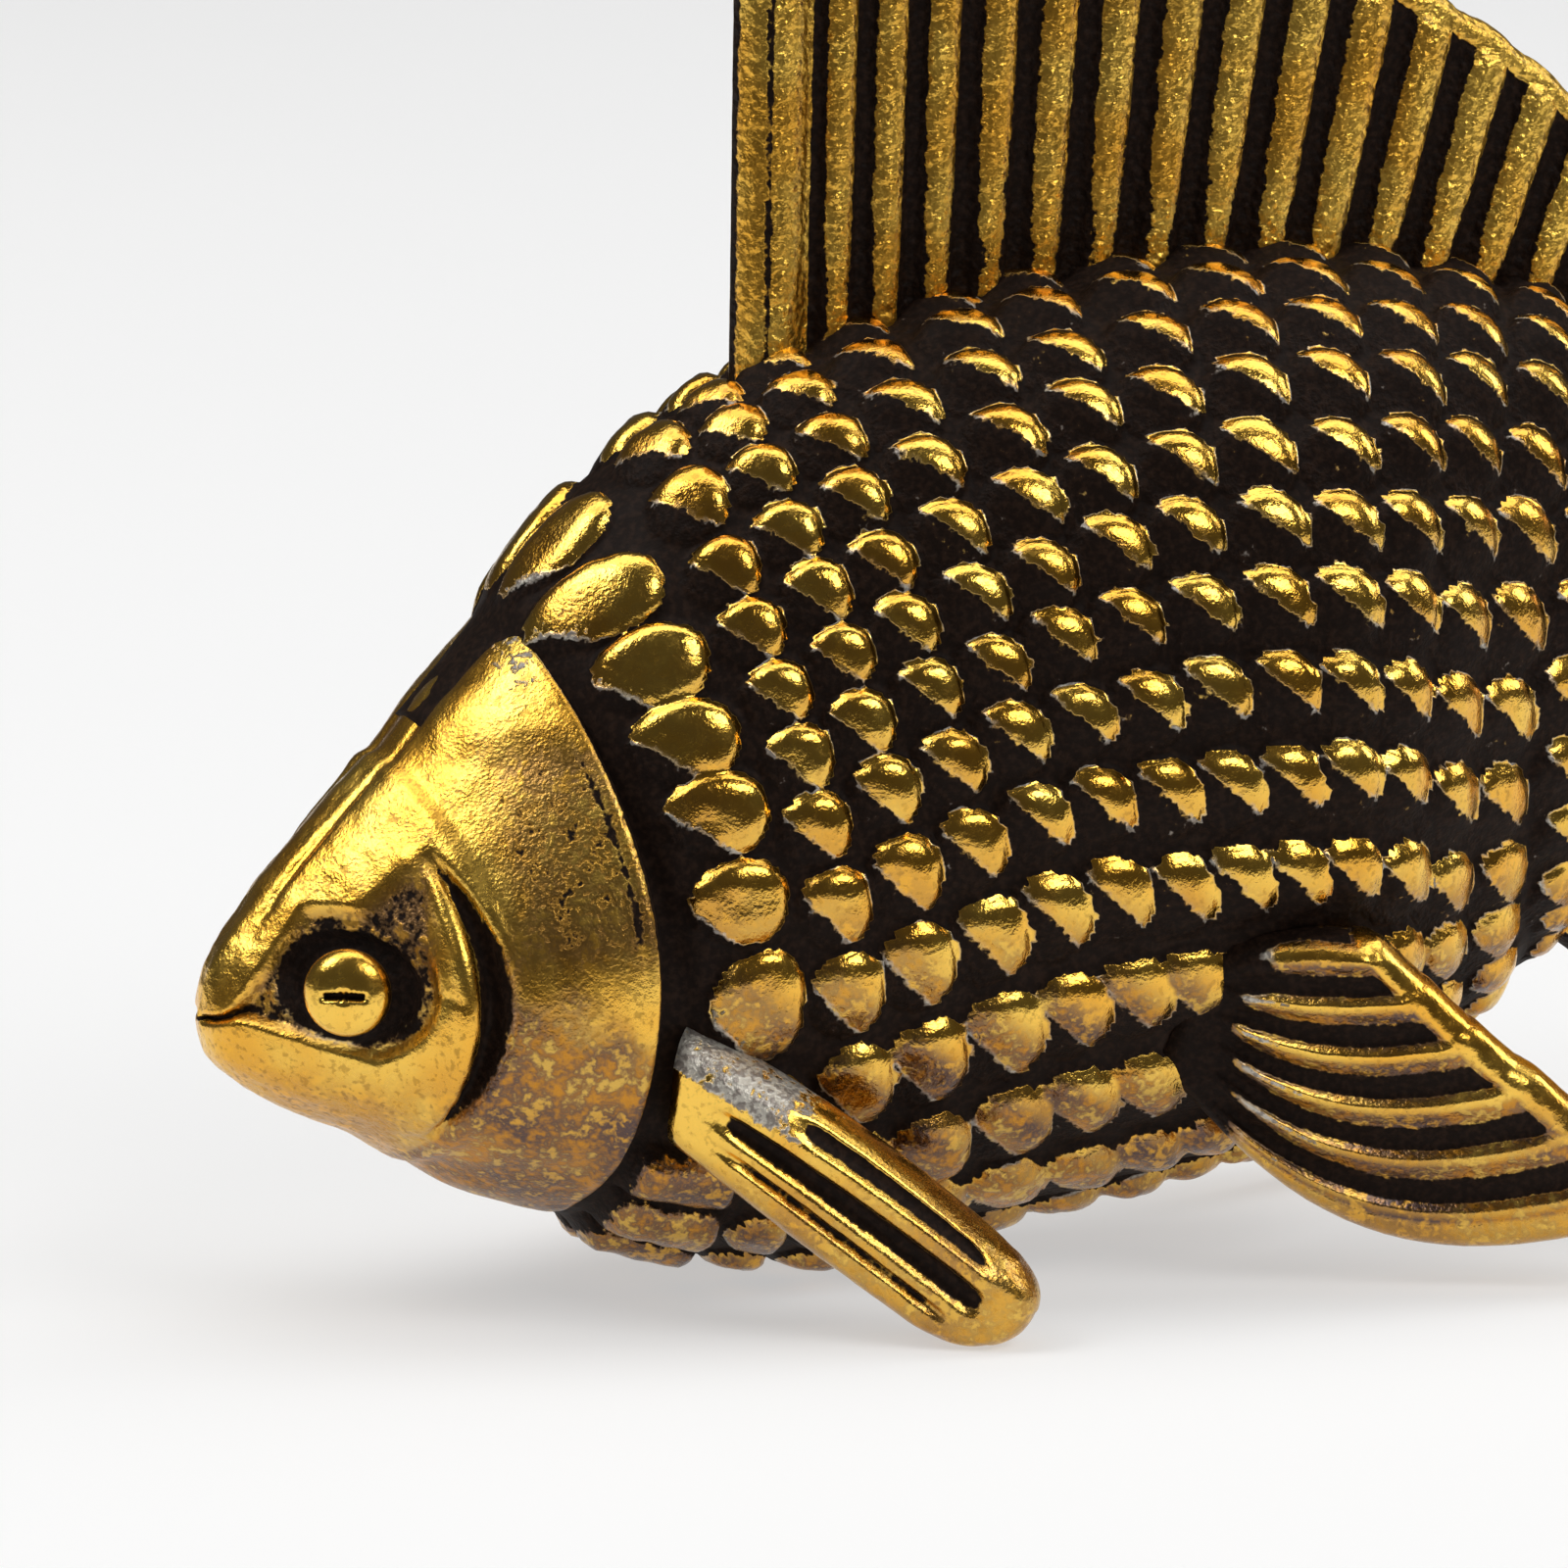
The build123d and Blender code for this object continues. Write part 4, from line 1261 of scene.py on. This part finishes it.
paper = bpy.data.materials.new("paper")
paper.use_nodes = True
paper.node_tree.nodes.clear()
value = Value(paper.node_tree)
tone = value.node("ShaderNodeTexCoord", output="Object").lumps(PAPER_LUMPS_MM, 2).blend(*PAPER_TONES)
kinds = ("Camera", "Glossy", "Transmission")
seen, mirrored, through = [value.node("ShaderNodeLightPath", output=f"Is {kind} Ray") for kind in kinds]
paper_mix = {
    0: (seen + mirrored + through) * PAPER_GLOW,
    1: value.node("ShaderNodeBsdfPrincipled", {}, {"Base Color": tone, "Roughness": PAPER_ROUGH}),
    2: value.node("ShaderNodeEmission", {}, {"Color": (1, 1, 1, 1), "Strength": 1.0}),
}
surface = value.node("ShaderNodeMixShader", {}, paper_mix)
value.node("ShaderNodeOutputMaterial", {}, {"Surface": surface})
floor.data.materials.append(paper)
print("paper card", CARD_SIZE, "m wide")

# %% [markdown]
# The light comes from above and a little behind, as in the photo. A wide box
# overhead gives the bright tops, and three small ones on the left, the right
# and in front put lights on the head and fins. The world is dim, so the rest
# of the metal mirrors dark.

# %% World and lamps
WORLD_TONE = (0.07, 0.068, 0.066, 1)
LAMP_TARGET = Vector((-0.005, 0, 0.012))

world = bpy.data.worlds.new("dim_studio")
bpy.context.scene.world = world
world.use_nodes = True
background = world.node_tree.nodes["Background"].inputs
background["Color"].default_value = WORLD_TONE
background["Strength"].default_value = 1.0


def soft_box(name, spot, wide, deep, power):
    """Lamp of a width and depth in metres and a power in watts that faces the fish."""
    light = bpy.data.lights.new(name, "AREA")
    light.shape = "RECTANGLE"
    light.size = wide
    light.size_y = deep
    light.energy = power
    lamp = add_object(name, light)
    lamp.location = spot
    lamp.rotation_euler = (LAMP_TARGET - lamp.location).to_track_quat("-Z", "Y").to_euler()
    return lamp


lamps = [
    soft_box("lamp_over", (0.0, 0.09, 0.65), 1.3, 0.42, 3.4),
    soft_box("lamp_left", (-0.5, 0.0, 0.52), 0.3, 0.3, 1.2),
    soft_box("lamp_right", (0.6, 0.0, 0.3), 0.2, 0.25, 0.6),
    soft_box("lamp_front", (0.19, -0.4, 0.42), 0.36, 0.24, 1.3),
]
print("lamps give", round(sum(lamp.data.energy for lamp in lamps), 2), "W")

# %% [markdown]
# The photo was taken from the fish's left front, 20 degrees round and 10
# degrees up, with a long lens, so the frame is 36 mm wide at the fish.

# %% Camera
LENS_MM = 220
SENSOR_MM = 36
CAMERA_DISTANCE = 0.22
NEAREST_SEEN = 0.01
CAMERA_TARGET = Vector((-0.01162, 0.0, 0.01165))
CAMERA_BACK = Vector((-0.3368, -0.9254, 0.1736))

camera_data = bpy.data.cameras.new("long_lens")
camera_data.lens = LENS_MM
camera_data.sensor_width = SENSOR_MM
camera_data.clip_start = NEAREST_SEEN
camera = add_object("long_lens", camera_data)
camera.location = CAMERA_TARGET + CAMERA_BACK * CAMERA_DISTANCE
camera.rotation_euler = CAMERA_BACK.to_track_quat("Z", "Y").to_euler()
bpy.context.scene.camera = camera
bpy.context.scene.view_settings.view_transform = "Standard"
print("camera", CAMERA_DISTANCE, "m away")
